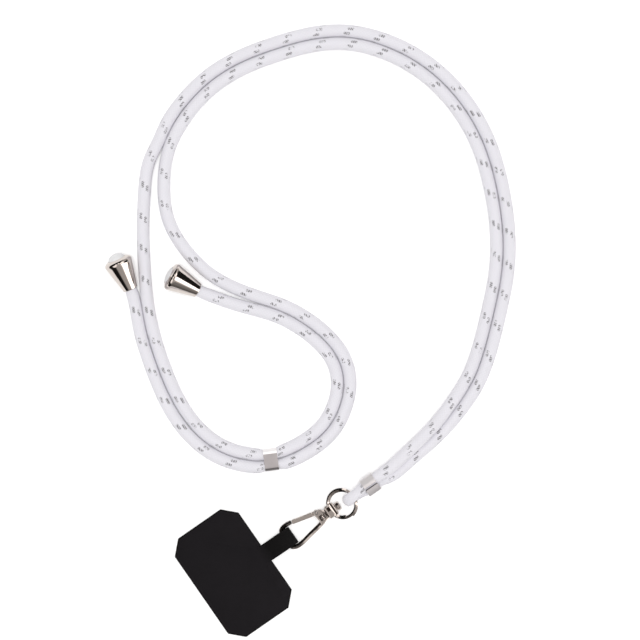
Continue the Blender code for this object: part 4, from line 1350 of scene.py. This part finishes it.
class STRAP_OT_set_stage(bpy.types.Operator):
    """Sets the pale floor, the soft studio light and the camera over the sheet"""

    bl_idname = "strap.set_stage"
    bl_label = "Set Stage"

    def execute(self, context):
        stage = context.scene.strap_stage
        self.add_camera(stage)
        self.add_floor(stage)
        self.add_overhead(stage)
        self.set_world(stage)
        context.scene.view_settings.view_transform = "Standard"
        return {"FINISHED"}

    def add_camera(self, stage):
        camera = bpy.data.cameras.new("camera")
        camera.lens = stage.lens
        camera.clip_end = 10.0
        x, y = PHOTO_SIDE / 2 - ZERO_PIXEL[0], ZERO_PIXEL[1] - PHOTO_SIDE / 2
        distance = PHOTO_SIDE * PIXEL * camera.lens / camera.sensor_width
        holder = linked("camera", camera)
        holder.location = Vector((x * PIXEL, y * PIXEL, distance)) + SHEET_SHIFT
        bpy.context.scene.camera = holder

    def add_floor(self, stage):
        nodes = Nodes("floor_pale")
        pale = opaque(stage.floor)
        nodes.surface(base_color=pale, roughness=0.9)
        nodes.surface(emission_color=pale, emission_strength=stage.glow)
        bm = bmesh.new()
        bmesh.ops.create_grid(bm, x_segments=1, y_segments=1, size=2.0)
        mesh = mesh_of("floor", bm)
        mesh.materials.append(nodes.material)
        linked("floor", mesh)

    def add_overhead(self, stage):
        """A wide soft lamp straight above, which the polished metal doesn't mirror."""
        lamp = bpy.data.lights.new("overhead", "SUN")
        lamp.energy = stage.overhead * math.pi
        lamp.angle = math.radians(20.0)
        holder = linked("overhead", lamp)
        holder.location = UP
        holder.visible_glossy = False

    def set_world(self, stage):
        """An even dome for the cord and floor, and the studio's panels for the metal to mirror."""
        world = bpy.data.worlds.new("studio")
        world.use_nodes = True
        bpy.context.scene.world = world
        nodes = Nodes("studio", world.node_tree)
        split = nodes.add("ShaderNodeSeparateXYZ", vector=nodes.place("Generated"))
        x, y, z = split.outputs
        tilt = nodes.math("MULTIPLY", nodes.math("ARCCOSINE", z), math.degrees(1.0))
        turn = nodes.math("MULTIPLY", nodes.math("ARCTAN2", y, x), math.degrees(1.0))
        mirrored = STUDIO_BASE
        for azimuth, half_width, high, low, strength in STUDIO_PANELS:
            around = nodes.math("WRAP", nodes.math("SUBTRACT", turn, azimuth), 180.0, -180.0)
            around = nodes.math("ABSOLUTE", around)
            beside = nodes.ease(around, half_width, half_width + PANEL_EDGE)
            above = nodes.ease(tilt, high - PANEL_EDGE, high)
            below = nodes.ease(tilt, low, low + PANEL_EDGE)
            mask = nodes.math("MULTIPLY", nodes.rest(beside), above)
            mask = nodes.math("MULTIPLY", mask, nodes.rest(below))
            more = nodes.math("SUBTRACT", strength, mirrored)
            mirrored = nodes.math("MULTIPLY_ADD", mask, more, mirrored)
        glossy = nodes.add("ShaderNodeLightPath").outputs["Is Glossy Ray"]
        more = nodes.math("SUBTRACT", mirrored, stage.dome)
        background = nodes.tree.nodes["Background"].inputs
        nodes.feed(background["Strength"], nodes.math("MULTIPLY_ADD", glossy, more, stage.dome))
        nodes.feed(background["Color"], nodes.mix(glossy, DOME_COLOUR, STUDIO_COLOUR))


class STRAP_PT_panel(bpy.types.Panel):
    """Lists the strap's sizes, colours and steps"""

    bl_idname = "STRAP_PT_panel"
    bl_label = "Phone Strap"
    bl_space_type = "VIEW_3D"
    bl_region_type = "UI"
    bl_category = "Strap"

    def draw(self, context):
        for settings in PROPERTY_GROUPS:
            box = self.layout.box()
            group = getattr(context.scene, settings)
            for name in type(group).__annotations__:
                box.prop(group, name)
        for operator in OPERATORS:
            self.layout.operator(operator.bl_idname)


PROPERTY_GROUPS = {
    "strap_cord": StrapCordSettings,
    "strap_metal": StrapMetalSettings,
    "strap_patch": StrapPatchSettings,
    "strap_stage": StrapStageSettings,
}

OPERATORS = (
    STRAP_OT_set_stage,
    STRAP_OT_add_cord,
    STRAP_OT_add_clips,
    STRAP_OT_add_bells,
    STRAP_OT_add_ring,
    STRAP_OT_add_eye,
    STRAP_OT_add_hook,
    STRAP_OT_add_gate,
    STRAP_OT_add_patch,
)


def register():
    for settings in PROPERTY_GROUPS.values():
        bpy.utils.register_class(settings)
    for name, settings in PROPERTY_GROUPS.items():
        setattr(bpy.types.Scene, name, PointerProperty(type=settings))
    for operator in OPERATORS:
        bpy.utils.register_class(operator)
    bpy.utils.register_class(STRAP_PT_panel)


def unregister():
    bpy.utils.unregister_class(STRAP_PT_panel)
    for operator in reversed(OPERATORS):
        bpy.utils.unregister_class(operator)
    for name, settings in PROPERTY_GROUPS.items():
        delattr(bpy.types.Scene, name)
        bpy.utils.unregister_class(settings)


def main():
    register()
    for operator in OPERATORS:
        getattr(bpy.ops.strap, operator.bl_idname.removeprefix("strap."))()


if __name__ == "__main__":
    main()
